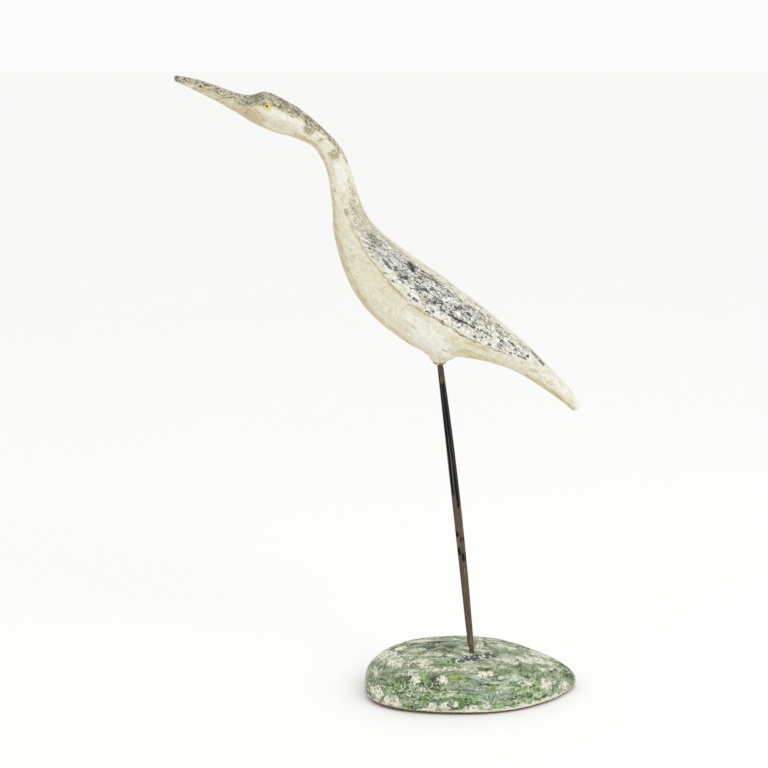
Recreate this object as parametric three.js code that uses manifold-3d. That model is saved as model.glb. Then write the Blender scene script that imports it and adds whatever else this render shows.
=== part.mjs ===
// Folk art heron: a carved and painted wooden bird on two thin iron rods, which stand in a low
// painted mound.  Sizes are in millimetres and the model stands upright with +Z up.
// The bird looks along -X, so its left side lies at -Y.
// The origin is the middle of the flat underside of the mound.

import * as THREE from "three";
import { mergeVertices } from "three/addons/utils/BufferGeometryUtils.js";
import Module from "manifold-3d";

const wasm = await Module();
wasm.setup();

// A rib is a slice across the bird: the [x, z] of its back and of its belly, its breadth from side
// to side, and how far round it the lower edge of the wing lies, from the back (0) to the belly (1).
const BILL = [
  { back: [-374, 803.5], belly: [-375, 796], breadth: 6, wing: 0.5 },
  { back: [-345.5, 797.5], belly: [-351.5, 785.5], breadth: 9, wing: 0.5 },
  { back: [-285, 778.5], belly: [-297.5, 757], breadth: 18, wing: 0.5 },
];
const HEAD = [
  { back: [-263.5, 783.5], belly: [-281, 746], breadth: 28, wing: 0.5 },
  { back: [-232.5, 769], belly: [-251.5, 733], breadth: 34, wing: 0.5 },
  { back: [-215.5, 758.5], belly: [-230, 727.5], breadth: 30, wing: 0.5 },
];
const NECK = [
  { back: [-185, 731], belly: [-205, 716], breadth: 24, wing: 0.5 },
  { back: [-172.5, 717.5], belly: [-195.5, 703], breadth: 24, wing: 0.5 },
  { back: [-161, 695.5], belly: [-187.5, 685.5], breadth: 24, wing: 0.5 },
  { back: [-143.5, 643.5], belly: [-181, 638], breadth: 32, wing: 0.515 },
  { back: [-128.5, 617], belly: [-180, 611.5], breadth: 40, wing: 0.512 },
];
const BODY = [
  { back: [-78, 576.5], belly: [-166, 556.5], breadth: 67, wing: 0.501 },
  { back: [-47.5, 556], belly: [-141.5, 513.5], breadth: 81, wing: 0.492 },
  { back: [-17.5, 533.5], belly: [-106.5, 481], breadth: 87, wing: 0.478 },
  { back: [11.5, 511.5], belly: [-66.5, 456], breadth: 86, wing: 0.463 },
  { back: [39.5, 487.5], belly: [-18, 449], breadth: 78, wing: 0.488 },
];
const TAIL = [
  { back: [65.5, 464.5], belly: [22, 441], breadth: 64, wing: 0.466 },
  { back: [90.5, 440], belly: [59, 426.5], breadth: 48, wing: 0.48 },
  { back: [127, 400.5], belly: [111, 391.5], breadth: 26, wing: 0.5 },
  { back: [135.5, 384.5], belly: [126, 379], breadth: 16, wing: 0.5 },
];
const RIBS = [...BILL, ...HEAD, ...NECK, ...BODY, ...TAIL];
const NECK_ROOT = BILL.length + HEAD.length + NECK.length - 1;
const TAIL_MIDDLE = RIBS.length - 3;
const LAST_RIB = RIBS.length - 1;

// Sides of the bird, as the sign of Y.
const LEFT = -1;
const RIGHT = 1;

// How the ribs are drawn: rings from one rib to the next, steps round each side above and below
// the wing edge, and how square a rib is (2 is an ellipse).
const RINGS_PER_RIB = 4;
const STEPS_ABOVE = 7;
const STEPS_BELOW = 7;
const RIB_POWER = 2.2;

// How far the blunt ends of bill and tail round off, and the rings that do it: each ring's size
// as a share of the last rib and how far out it lies as a share of the rounding.
const BILL_END = 2.5;
const TAIL_END = 3.5;
const END_RINGS = [[0.8, 0.65], [0.45, 0.95]];

// The wing stands proud of the body along its lower edge, which runs in shallow scallops.  The lift
// is in full from WING_SWELL of the way down from the back, and fades over WING_FADE ribs either way
// at the neck root and in the tail.  WING_EDGE is half the width of the step, in half turns.
const WING_LIFT = 2.2;
const WING_SWELL = 0.8;
const WING_FADE = 1.1;
const WING_EDGE = 0.012;
const SCALLOP_DEPTH = 0.016;
const SCALLOPS_PER_RIB = 0.8;

// Two short thighs, carved out of the flanks above and tapering to a blunt stump round each rod.
// The profile lists radius and height; it is stretched lengthwise, then leans back and outward.
const THIGH_FOOT = [-42.2, 437.8];
const THIGH_LEAN_BACK = 0.1;
const THIGH_LEAN_OUT = 0.24;
const THIGH_STRETCH = 1.25;
const THIGH_SIDES = 20;
const THIGH_PROFILE = [
  [0, 0], [5.2, 0], [6.4, 1.5], [8, 6], [11, 13], [15, 22], [17, 30], [15, 37], [8, 44], [0, 46],
];

// Iron rods, a quarter of an inch thick.  The left one is bowed backward between bird and mound.
const ROD_DIAMETER = 6.35;
const ROD_SIDES = 12;
const ROD_SPACING = 26;
const ROD_TOP = [-44.6, 438];
const ROD_FOOT = [-0.8, 51];
const ROD_BOW = 4.4;
const BOW_STEPS = 16;
const ROD_IN_BIRD = 25;
const ROD_IN_MOUND = 20;
const GAP = 0.4;

// Glass eyes, sunk into the head at a place along the ribs and round from the back.
const EYE_DIAMETER = 8;
const EYE_PROUD = 2.4;
const EYE_RIB = 3.33;
const EYE_ROUND = 0.436;
const EYE_SIDES = 16;
const EYE_BANDS = 10;

// The mound: a squarish oval in plan, blunt and steep at the left end and pointed at the right,
// which swings to the rear.  The powers say how square it is in plan at either end and upright.
const MOUND_HALF_LENGTH = 139.5;
const MOUND_FRONT = 96.5;
const MOUND_REAR = 112;
const MOUND_SKEW = 9.6;
const LEFT_POWER = 2.6;
const RIGHT_POWER = 1.56;
const MOUND_POWER = 2.6;

// Its top is highest left of the rods and falls toward the right end.
const MOUND_HEIGHT = 53;
const MOUND_SLOPE = -11;
const MOUND_SAG = -5;

// Its lower edge is rounded under: widest at the rim's height, and tucked in by a share of the plan.
// Each underside ring has a share of the tuck and a share of the rim's height.
const MOUND_RIM = 6;
const MOUND_TUCK = 0.04;
const UNDER_RINGS = [[1, 0], [0.3, 0.35]];
const MOUND_SIDES = 72;
const MOUND_RINGS = 12;

const curveOf = (place) => new THREE.CatmullRomCurve3(RIBS.map(place), false, "centripetal");
const backLine = curveOf((rib) => new THREE.Vector3(rib.back[0], 0, rib.back[1]));
const bellyLine = curveOf((rib) => new THREE.Vector3(rib.belly[0], 0, rib.belly[1]));
const sideLine = curveOf((rib) => new THREE.Vector3(
  (rib.back[0] + rib.belly[0]) / 2, rib.breadth / 2, (rib.back[1] + rib.belly[1]) / 2));

// Where the wing edge lies round the body, as an angle from the back.
function wingAngle(along) {
  const before = Math.min(Math.floor(along), LAST_RIB - 1);
  const plain = THREE.MathUtils.lerp(RIBS[before].wing, RIBS[before + 1].wing, along - before);
  const scallop = Math.abs(Math.sin(Math.PI * SCALLOPS_PER_RIB * along)) - 0.5;
  return Math.PI * (plain + SCALLOP_DEPTH * scallop * wingRise(along));
}

// The wing rises out of the neck root and dies away into the tail, from 0 to 1.
function wingRise(along) {
  const front = THREE.MathUtils.smoothstep(along, NECK_ROOT - WING_FADE, NECK_ROOT + WING_FADE);
  const rear = 1 - THREE.MathUtils.smoothstep(along, TAIL_MIDDLE - WING_FADE, TAIL_MIDDLE + WING_FADE);
  return front * rear;
}

// A point of the bird's skin at an angle round from the back, on one side.
function skinPoint(along, angle, side, lift = 0) {
  const t = along / LAST_RIB;
  const middle = sideLine.getPoint(t);
  const reach = middle.y;
  middle.y = 0;
  const end = angle < Math.PI / 2 ? backLine.getPoint(t) : bellyLine.getPoint(t);
  const up = Math.abs(Math.cos(angle)) ** (2 / RIB_POWER);
  const out = Math.sin(angle) ** (2 / RIB_POWER);
  const arm = end.sub(middle).multiplyScalar(up).add(new THREE.Vector3(0, side * reach * out, 0));
  const length = arm.length();
  return middle.add(arm.multiplyScalar((length + lift) / length));
}

// One side of a ring, from the back point down to the belly point, with the wing's lift.
function halfRing(along, side) {
  const edge = wingAngle(along);
  const rise = WING_LIFT * wingRise(along);
  const lip = edge - Math.PI * WING_EDGE;
  const foot = edge + Math.PI * WING_EDGE;
  const points = [];
  for (let k = 0; k <= STEPS_ABOVE; k++) {
    const share = k / STEPS_ABOVE;
    const lift = rise * THREE.MathUtils.smoothstep(share, 0, WING_SWELL);
    points.push(skinPoint(along, lip * share, side, lift));
  }
  for (let k = 0; k <= STEPS_BELOW; k++) {
    const angle = THREE.MathUtils.lerp(foot, Math.PI, k / STEPS_BELOW);
    points.push(skinPoint(along, angle, side));
  }
  return points;
}

// A closed ring: down the left side, then up the right side.
function ringAt(along) {
  const left = halfRing(along, LEFT);
  const right = halfRing(along, RIGHT).slice(1, -1).reverse();
  return [...left, ...right];
}

function centreOf(ring) {
  const sum = ring.reduce((total, point) => total.add(point), new THREE.Vector3());
  return sum.divideScalar(ring.length);
}

// Rings that shrink toward the middle of an end ring and step outward, which rounds the end off.
function roundedEnd(ring, inner, depth) {
  const middle = centreOf(ring);
  const outward = middle.clone().sub(centreOf(inner)).normalize();
  return END_RINGS.map(([size, step]) => ring.map((point) => {
    const shrunk = middle.clone().lerp(point, size);
    return shrunk.addScaledVector(outward, depth * step);
  }));
}

// A closed skin over a row of rings with the same number of points, with a point at either end.
function skinOver(rings) {
  const size = rings[0].length;
  const points = [...rings.flat(), centreOf(rings[0]), centreOf(rings[rings.length - 1])];
  const first = points.length - 2;
  const last = points.length - 1;
  const faces = [];
  for (let j = 0; j < size; j++) {
    const next = (j + 1) % size;
    faces.push(first, next, j);
    faces.push(last, (rings.length - 1) * size + j, (rings.length - 1) * size + next);
    for (let i = 0; i + 1 < rings.length; i++) {
      const [a, b] = [i * size + j, i * size + next];
      const [c, d] = [a + size, b + size];
      faces.push(a, b, c, b, d, c);
    }
  }
  return solidOf(points.flatMap((point) => point.toArray()), faces);
}

function solidOf(coordinates, faces) {
  const vertProperties = new Float32Array(coordinates);
  const triVerts = new Uint32Array(faces);
  return new wasm.Manifold(new wasm.Mesh({ numProp: 3, vertProperties, triVerts }));
}

// A solid from a closed geometry, once its vertices carry nothing but their places and are shared.
function solidFrom(geometry) {
  const bare = geometry.clone();
  bare.deleteAttribute("normal");
  bare.deleteAttribute("uv");
  const merged = mergeVertices(bare, 1e-3);
  return solidOf(merged.attributes.position.array, merged.index.array);
}

function meshOf(name, solid, look) {
  const { vertProperties, triVerts } = solid.getMesh();
  const geometry = new THREE.BufferGeometry();
  geometry.setAttribute("position", new THREE.BufferAttribute(vertProperties, 3));
  geometry.setIndex(new THREE.BufferAttribute(triVerts, 1));
  geometry.computeVertexNormals();
  const mesh = new THREE.Mesh(geometry, new THREE.MeshStandardMaterial(look));
  mesh.name = name;
  return mesh;
}

function birdSkin() {
  const rings = [];
  for (let i = 0; i <= LAST_RIB * RINGS_PER_RIB; i++) {
    rings.push(ringAt(i / RINGS_PER_RIB));
  }
  const bill = roundedEnd(rings[0], rings[1], BILL_END).reverse();
  const tail = roundedEnd(rings[rings.length - 1], rings[rings.length - 2], TAIL_END);
  return skinOver([...bill, ...rings, ...tail]);
}

// A lathe turned about Z that closes on its axis at both ends.
function lathe(profile, sides) {
  const points = profile.map(([radius, height]) => new THREE.Vector2(radius, height));
  return new THREE.LatheGeometry(points, sides).rotateX(Math.PI / 2);
}

function thigh(side) {
  const geometry = lathe(THIGH_PROFILE, THIGH_SIDES).scale(THIGH_STRETCH, 1, 1);
  geometry.rotateY(THIGH_LEAN_BACK).rotateX(-side * THIGH_LEAN_OUT);
  geometry.translate(THIGH_FOOT[0], side * ROD_SPACING / 2, THIGH_FOOT[1]);
  return solidFrom(geometry);
}

function bowOf(side) {
  return side === LEFT ? ROD_BOW : 0;
}

// The curve of a rod, which starts inside the thigh and ends inside the mound.
function rodPath(side) {
  const top = new THREE.Vector3(ROD_TOP[0], side * ROD_SPACING / 2, ROD_TOP[1]);
  const foot = new THREE.Vector3(ROD_FOOT[0], side * ROD_SPACING / 2, ROD_FOOT[1]);
  const down = foot.clone().sub(top).normalize();
  top.addScaledVector(down, -ROD_IN_BIRD);
  foot.addScaledVector(down, ROD_IN_MOUND);
  const control = top.clone().lerp(foot, 0.5);
  control.x += 2 * bowOf(side);
  return new THREE.QuadraticBezierCurve3(top, control, foot);
}

// A round bar along a path, drawn in as many steps as a bow needs.
function bar(path, radius, steps) {
  const round = new THREE.Shape().absarc(0, 0, radius, 0, 2 * Math.PI);
  const options = { steps, curveSegments: ROD_SIDES / 2, bevelEnabled: false, extrudePath: path };
  return solidFrom(new THREE.ExtrudeGeometry(round, options));
}

function rod(side) {
  return bar(rodPath(side), ROD_DIAMETER / 2, bowOf(side) === 0 ? 1 : BOW_STEPS);
}

// The hole for one end of a rod (0 its top, 1 its foot): wider and deeper than the rod by the gap,
// and open well past the surface.
function rodHole(side, end, depth) {
  const path = rodPath(side);
  const inward = path.getTangent(end).multiplyScalar(end === 0 ? -1 : 1);
  const bottom = path.getPoint(end);
  const mouth = bottom.clone().addScaledVector(inward, -2 * depth);
  bottom.addScaledVector(inward, GAP);
  return bar(new THREE.LineCurve3(bottom, mouth), ROD_DIAMETER / 2 + GAP, 1);
}

function ball(diameter, centre) {
  return solidFrom(new THREE.SphereGeometry(diameter / 2, EYE_SIDES, EYE_BANDS).translate(...centre));
}

function eyeCentre(side) {
  const surface = skinPoint(EYE_RIB, Math.PI * EYE_ROUND, side);
  surface.y -= side * (EYE_DIAMETER / 2 - EYE_PROUD);
  return surface.toArray();
}

// A point of the mound: round is the angle from the right end, reach the share of the plan radius,
// and rise the share of the height above the rim.
function moundPoint(round, reach, rise, rim = MOUND_RIM) {
  const [c, s] = [Math.cos(round), Math.sin(round)];
  const power = THREE.MathUtils.lerp(LEFT_POWER, RIGHT_POWER, 0.5 + 0.5 * c);
  const radius = reach * (Math.abs(c) ** power + Math.abs(s) ** power) ** (-1 / power);
  const across = radius * c;
  const deep = radius * s * (s < 0 ? MOUND_FRONT : MOUND_REAR) + MOUND_SKEW * across;
  const crest = MOUND_HEIGHT + MOUND_SLOPE * across + MOUND_SAG * across ** 2;
  return new THREE.Vector3(MOUND_HALF_LENGTH * across, deep, rim + (crest - rim) * rise);
}

function moundRing(reach, rise, rim) {
  return Array.from({ length: MOUND_SIDES }, (_, k) => {
    const round = 2 * Math.PI * k / MOUND_SIDES;
    return moundPoint(round, reach, rise, rim);
  });
}

function moundBody() {
  const rings = UNDER_RINGS.map(([tuck, height]) => {
    return moundRing(1 - MOUND_TUCK * tuck, 0, MOUND_RIM * height);
  });
  for (let k = 0; k < MOUND_RINGS; k++) {
    const angle = Math.PI / 2 * (1 - k / MOUND_RINGS);
    rings.push(moundRing(Math.sin(angle) ** (2 / MOUND_POWER), Math.cos(angle) ** (2 / MOUND_POWER)));
  }
  return skinOver(rings);
}

function heron() {
  let bird = birdSkin();
  for (const side of [LEFT, RIGHT]) {
    bird = bird.add(thigh(side));
  }
  for (const side of [LEFT, RIGHT]) {
    bird = bird.subtract(rodHole(side, 0, ROD_IN_BIRD));
    bird = bird.subtract(ball(EYE_DIAMETER + 2 * GAP, eyeCentre(side)));
  }
  return bird;
}

function base() {
  const holes = [LEFT, RIGHT].map((side) => rodHole(side, 1, ROD_IN_MOUND));
  return holes.reduce((mound, hole) => mound.subtract(hole), moundBody());
}

const PAINTED_WOOD = { color: 0xd9cfb8, roughness: 0.65, metalness: 0 };
const PAINTED_MOUND = { color: 0x7d9065, roughness: 0.7, metalness: 0 };
const RUSTY_IRON = { color: 0x4a3a30, roughness: 0.55, metalness: 0.6 };
const YELLOW_GLASS = { color: 0xe6c21e, roughness: 0.08, metalness: 0 };

const group = new THREE.Group();
group.name = "folk_art_heron";
group.add(meshOf("heron", heron(), PAINTED_WOOD));
group.add(meshOf("base", base(), PAINTED_MOUND));
for (const [word, side] of [["left", LEFT], ["right", RIGHT]]) {
  group.add(meshOf(`leg_${word}`, rod(side), RUSTY_IRON));
  group.add(meshOf(`eye_${word}`, ball(EYE_DIAMETER, eyeCentre(side)), YELLOW_GLASS));
}

export default group;
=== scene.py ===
"""Looks of a folk art heron: a carved, painted wading bird on two iron rods in a low painted mound.

Sizes are in metres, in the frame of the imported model: +Z is up, the bird looks along -X and its left
side lies at -Y.  A place on the bird is also told by its rib, from 0 at the tip of the bill to 19 at
the end of the tail, and by how far round it lies, from 0 at the back to 1 at the belly.
"""

import logging
import math
from collections.abc import Callable, Iterator, Sequence
from contextlib import contextmanager
from dataclasses import dataclass
from enum import Enum

import bpy
import numpy as np
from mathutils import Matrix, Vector, noise


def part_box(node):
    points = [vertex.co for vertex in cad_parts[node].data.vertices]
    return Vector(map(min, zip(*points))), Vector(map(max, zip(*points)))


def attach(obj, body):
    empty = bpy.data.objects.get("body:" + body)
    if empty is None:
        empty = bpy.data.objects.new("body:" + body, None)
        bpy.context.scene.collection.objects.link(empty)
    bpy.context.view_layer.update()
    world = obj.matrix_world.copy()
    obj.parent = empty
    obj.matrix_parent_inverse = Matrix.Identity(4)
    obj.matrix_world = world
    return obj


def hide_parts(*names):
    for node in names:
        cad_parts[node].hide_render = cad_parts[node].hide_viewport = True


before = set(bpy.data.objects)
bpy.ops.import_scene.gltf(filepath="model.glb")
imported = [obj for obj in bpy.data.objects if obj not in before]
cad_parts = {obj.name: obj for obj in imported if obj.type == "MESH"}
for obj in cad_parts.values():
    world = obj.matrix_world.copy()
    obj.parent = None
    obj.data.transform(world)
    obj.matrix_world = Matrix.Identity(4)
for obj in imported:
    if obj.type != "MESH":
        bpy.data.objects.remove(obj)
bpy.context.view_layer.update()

LOG = logging.getLogger("heron")
MM = 0.001
WELD = 0.002 * MM
FLAT_ENOUGH = math.radians(50)
SQUARE_ENOUGH = math.radians(60)

Colour = tuple[float, float, float, float]
Point = tuple[float, float, float]
Value = float | Colour | Point | bpy.types.NodeSocket


class Side(Enum):
    """The two sides of the bird, as the sign of Y."""

    LEFT = -1
    RIGHT = 1


class Part(Enum):
    """What a mesh is made of, as the name of its list of them."""

    VERT = "vertices"
    EDGE = "edges"
    FACE = "polygons"


def srgb(red: int, green: int, blue: int) -> Colour:
    """Turns a colour as a screen shows it into the linear colour of a shader.

    Args:
        red: The red part, from 0 to 255.
        green: The green part.
        blue: The blue part.

    Returns:
        The linear colour with full alpha.
    """
    parts = [c / 255 for c in (red, green, blue)]
    linear = [c / 12.92 if c <= 0.04045 else ((c + 0.055) / 1.055) ** 2.4 for c in parts]
    return (linear[0], linear[1], linear[2], 1.0)


def smoothstep(value: np.ndarray, low: float, high: float) -> np.ndarray:
    """Eases from 0 at low to 1 at high.

    Args:
        value: The numbers to ease.
        low: Where the rise begins.
        high: Where it ends.

    Returns:
        The eased numbers, from 0 to 1.
    """
    share = np.clip((value - low) / (high - low), 0, 1)
    return share * share * (3 - 2 * share)


@dataclass(frozen=True)
class Grain:
    """Smooth unevenness of a surface.

    Args:
        height: How high its swells stand, in millimetres.
        size: How far apart they lie, in millimetres.
        seed: Which of many patterns it is.
        octaves: How many finer patterns are laid over the first.
        stretch: How much finer it is along each axis.
    """

    height: float
    size: float
    seed: int
    octaves: int = 3
    stretch: Point = (1, 1, 1)

    SHIFT = (7.31, 3.17, 5.77)
    FADE = 0.9
    FINER = 2.1

    def over(self, points: np.ndarray) -> np.ndarray:
        """Its height at each point, in metres.

        Args:
            points: The points, one a row.

        Returns:
            The heights, which lie about as far below 0 as above.
        """
        offset = Vector([step * self.seed for step in self.SHIFT])
        size = self.size * MM
        return self.height * MM * np.array([
            noise.fractal(Vector(point) / size + offset, self.FADE, self.FINER, self.octaves)
            for point in points * self.stretch])


@contextmanager
def editing(action: str | None = "SELECT") -> Iterator[None]:
    """Opens the mesh of the active piece for as long as a with statement lasts.

    Args:
        action: What to do with the selection first, or nothing.

    Returns:
        The with statement's context.
    """
    bpy.ops.object.mode_set(mode="EDIT")
    if action:
        bpy.ops.mesh.select_all(action=action)
    yield
    bpy.ops.object.mode_set(mode="OBJECT")


def pick(piece: bpy.types.Object, part: Part, chosen: Callable[[bpy.types.bpy_struct], bool]) -> None:
    """Selects only the chosen vertices, edges or faces of the active piece.

    Args:
        piece: The active piece.
        part: What to select.
        chosen: Says of each whether it is selected.
    """
    with editing("DESELECT"):
        bpy.ops.mesh.select_mode(type=part.name)
    for item in getattr(piece.data, part.value):
        item.select = chosen(item)


def select_only(piece: bpy.types.Object) -> None:
    """Selects one piece and makes it active, with all else deselected."""
    bpy.ops.object.select_all(action="DESELECT")
    piece.select_set(True)
    bpy.context.view_layer.objects.active = piece


def apply_modifier(piece: bpy.types.Object, kind: str, **settings: object) -> None:
    """Adds a modifier to the active piece and applies it.

    Args:
        piece: The active piece.
        kind: The modifier's kind.
        **settings: The modifier's settings.
    """
    modifier = piece.modifiers.new(kind.title(), kind)
    for name, value in settings.items():
        setattr(modifier, name, value)
    bpy.ops.object.modifier_apply(modifier=modifier.name)


def merged_copy(node: str, name: str) -> bpy.types.Object:
    """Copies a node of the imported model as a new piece, with its loose triangles merged.

    Args:
        node: The node to copy.
        name: The new piece's name.

    Returns:
        The new piece, selected and active, in object mode.
    """
    piece = bpy.data.objects.new(name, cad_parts[node].data.copy())
    piece.data.name = name
    piece.data.materials.clear()
    bpy.context.scene.collection.objects.link(piece)
    select_only(piece)
    with editing():
        bpy.ops.mesh.customdata_custom_splitnormals_clear()
        bpy.ops.mesh.remove_doubles(threshold=WELD)
    return piece


def delete_faces(piece: bpy.types.Object, chosen: Callable[[Vector], bool]) -> None:
    """Deletes the faces of the active piece whose middle is chosen.

    Args:
        piece: The active piece.
        chosen: Says of a face's middle whether the face goes.
    """
    pick(piece, Part.FACE, lambda face: chosen(face.center))
    with editing(None):
        bpy.ops.mesh.delete(type="FACE")


def close_holes() -> None:
    """Fills every open loop of the active piece with faces."""
    with editing():
        bpy.ops.mesh.fill_holes(sides=0)
        bpy.ops.mesh.select_all(action="SELECT")
        bpy.ops.mesh.normals_make_consistent(inside=False)


def to_quads() -> None:
    """Joins the triangles of the active piece to quads where they lie flat enough."""
    with editing():
        bpy.ops.mesh.tris_convert_to_quads(face_threshold=FLAT_ENOUGH, shape_threshold=SQUARE_ENOUGH)


class Skin:
    """The points and outward normals of a piece's mesh, to be shaped and written back."""

    def __init__(self, piece: bpy.types.Object) -> None:
        """Reads the piece's mesh."""
        self.mesh = piece.data
        self.points = self._read(self.mesh.vertices, "co")
        self.normals = self._read(self.mesh.vertex_normals, "vector")

    @staticmethod
    def _read(items: Sequence, name: str) -> np.ndarray:
        """Reads a vector of each item as a row."""
        values = np.empty(len(items) * 3, np.float32)
        items.foreach_get(name, values)
        return values.reshape(-1, 3).astype(float)

    def write(self) -> None:
        """Writes the points back to the mesh."""
        self.mesh.vertices.foreach_set("co", self.points.astype(np.float32).ravel())
        self.mesh.update()

    def push(self, height: np.ndarray) -> None:
        """Moves each point outward by its own height."""
        self.points += self.normals * height[:, None]
        self.write()

    def note(self, name: str, values: np.ndarray) -> None:
        """Writes a number, or a row of three, for each point as an attribute of the mesh.

        Args:
            name: The attribute's name.
            values: A number or a row of three for each point.
        """
        flat = values.ndim == 1
        kind, slot = ("FLOAT", "value") if flat else ("FLOAT_VECTOR", "vector")
        attribute = self.mesh.attributes.new(name, kind, "POINT")
        attribute.data.foreach_set(slot, values.astype(np.float32).ravel())


@dataclass(frozen=True)
class Spot:
    """A round or oval spot, which is strongest in its middle and fades to 0 at its rim.

    Args:
        middle: Its middle, in millimetres.
        radii: Its radii along X, Y and Z, in millimetres.
        weight: How strong it is, or how high in millimetres where it tells a shape.
    """

    middle: Point
    radii: Point
    weight: float = 1.0

    CORE = 0.35

    def over(self, points: np.ndarray) -> np.ndarray:
        """How strong the spot is at each point."""
        reach = np.linalg.norm((points / MM - self.middle) / self.radii, axis=1)
        return self.weight * (1 - smoothstep(reach, self.CORE, 1.0))


def mirrored(spot: Spot) -> tuple[Spot, Spot]:
    """A spot on one side of the bird and its twin on the other, the twin first."""
    x, y, z = spot.middle
    return (Spot((x, -y, z), spot.radii, spot.weight), spot)


def spots_over(spots: Sequence[Spot], points: np.ndarray) -> np.ndarray:
    """The strongest of several spots at each point."""
    return np.max([spot.over(points) for spot in spots], axis=0)


class Bench:
    """Lays and joins the nodes of one shader tree.

    A value is a number, a colour, a vector, or the output of another node.
    """

    ROWS = 8
    COLUMN_STEP = 220
    ROW_STEP = -240

    def __init__(self, tree: bpy.types.NodeTree) -> None:
        """Starts on a tree."""
        self.tree = tree
        self.laid = 0

    def lay(self, kind: str, **settings: object) -> bpy.types.Node:
        """Adds a node with its settings.

        Args:
            kind: The node's kind, without the leading word.
            **settings: The node's settings.

        Returns:
            The node.
        """
        node = self.tree.nodes.new("ShaderNode" + kind)
        column, row = divmod(self.laid, self.ROWS)
        node.location = (self.COLUMN_STEP * column, self.ROW_STEP * row)
        self.laid += 1
        for name, value in settings.items():
            setattr(node, name, value)
        return node

    def feed(self, socket: bpy.types.NodeSocket, value: Value) -> None:
        """Sets a socket to a value, or joins it to an output."""
        if isinstance(value, bpy.types.NodeSocket):
            self.tree.links.new(value, socket)
        else:
            socket.default_value = value

    def feed_all(self, node: bpy.types.Node, values: dict[str, Value]) -> None:
        """Feeds several sockets of a node by their names."""
        for name, value in values.items():
            self.feed(node.inputs[name], value)

    def math(self, operation: str, first: Value, second: Value = 0.0) -> Value:
        """Works one sum out of one or two numbers."""
        node = self.lay("Math", operation=operation)
        self.feed(node.inputs[0], first)
        self.feed(node.inputs[1], second)
        return node.outputs[0]

    def times(self, *values: Value) -> Value:
        """Multiplies several numbers."""
        product = values[0]
        for value in values[1:]:
            product = self.math("MULTIPLY", product, value)
        return product

    def total(self, *values: Value) -> Value:
        """Adds several numbers."""
        amount = values[0]
        for value in values[1:]:
            amount = self.math("ADD", amount, value)
        return amount

    def most(self, *values: Value) -> Value:
        """The greatest of several numbers."""
        greatest = values[0]
        for value in values[1:]:
            greatest = self.math("MAXIMUM", greatest, value)
        return greatest

    def without(self, value: Value) -> Value:
        """What is left of 1 once a share is taken away."""
        return self.math("SUBTRACT", 1.0, value)

    def vector(self, operation: str, first: Value, second: Value = (0.0, 0.0, 0.0)) -> Value:
        """Works one sum out of vectors, and gives its vector or number."""
        node = self.lay("VectorMath", operation=operation)
        self.feed(node.inputs[0], first)
        if operation == "SCALE":
            self.feed(node.inputs["Scale"], second)
        else:
            self.feed(node.inputs[1], second)
        return node.outputs["Value" if operation == "DOT_PRODUCT" else "Vector"]

    def rise(self, value: Value, low: Value, high: Value) -> Value:
        """Eases from 0 at low to 1 at high."""
        node = self.lay("MapRange", interpolation_type="SMOOTHSTEP")
        self.feed_all(node, {"Value": value, "From Min": low, "From Max": high})
        return node.outputs["Result"]

    def fall(self, value: Value, low: Value, high: Value) -> Value:
        """Eases from 1 at low to 0 at high."""
        return self.without(self.rise(value, low, high))

    def mix(self, share: Value, first: Value, second: Value) -> Value:
        """Lays a share of the second colour over the first."""
        node = self.lay("Mix", data_type="RGBA")
        for index, value in ((0, share), (6, first), (7, second)):
            self.feed(node.inputs[index], value)
        return node.outputs[2]

    def between(self, share: Value, first: Value, second: Value) -> Value:
        """A number between two numbers."""
        node = self.lay("Mix", data_type="FLOAT")
        for index, value in ((0, share), (2, first), (3, second)):
            self.feed(node.inputs[index], value)
        return node.outputs[0]

    def ramp(self, value: Value, stops: Sequence[tuple[float, Colour]]) -> Value:
        """Colours a number by stops from 0 to 1."""
        node = self.lay("ValToRGB")
        elements = node.color_ramp.elements
        while len(elements) < len(stops):
            elements.new(1.0)
        for element, (position, colour) in zip(elements, stops):
            element.position = position
            element.color = colour
        self.feed(node.inputs[0], value)
        return node.outputs["Color"]

    def cloud(self, place: Value, scale: Value, detail: float = 4.0, rough: float = 0.55,
              output: str = "Fac") -> Value:
        """Cloudy noise, from 0 to 1 and mostly near a half."""
        node = self.lay("TexNoise")
        self.feed_all(node, {"Vector": place, "Scale": scale, "Detail": detail, "Roughness": rough})
        return node.outputs[output]

    def sway(self, place: Value, scale: Value, detail: float = 4.0, rough: float = 0.55) -> Value:
        """Cloudy noise round 0."""
        return self.math("SUBTRACT", self.cloud(place, scale, detail, rough), 0.5)

    def cells(self, place: Value, scale: Value, feature: str = "F1", output: str = "Distance") -> Value:
        """A pattern of cells."""
        node = self.lay("TexVoronoi", feature=feature)
        self.feed_all(node, {"Vector": place, "Scale": scale})
        return node.outputs[output]

    def place(self) -> Value:
        """The object's own coordinates, in metres."""
        return self.lay("TexCoord").outputs["Object"]

    def part(self, vector: Value, axis: str) -> Value:
        """One of a vector's three numbers."""
        node = self.lay("SeparateXYZ")
        self.feed(node.inputs[0], vector)
        return node.outputs[axis]

    def noted(self, name: str, output: str = "Fac") -> Value:
        """An attribute that the piece carries."""
        return self.lay("Attribute", attribute_name=name).outputs[output]

    def use(self, effect: bpy.types.NodeTree, **values: Value) -> bpy.types.bpy_prop_collection:
        """Places an effect, feeds it and gives its outputs."""
        node = self.lay("Group")
        node.node_tree = effect
        self.feed_all(node, values)
        return node.outputs

    def bump(self, height: Value, depth: float, strength: float = 1.0) -> Value:
        """Turns a height into the normal of a surface that has it."""
        node = self.lay("Bump")
        self.feed_all(node, {"Height": height, "Distance": depth, "Strength": strength})
        return node.outputs["Normal"]


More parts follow.
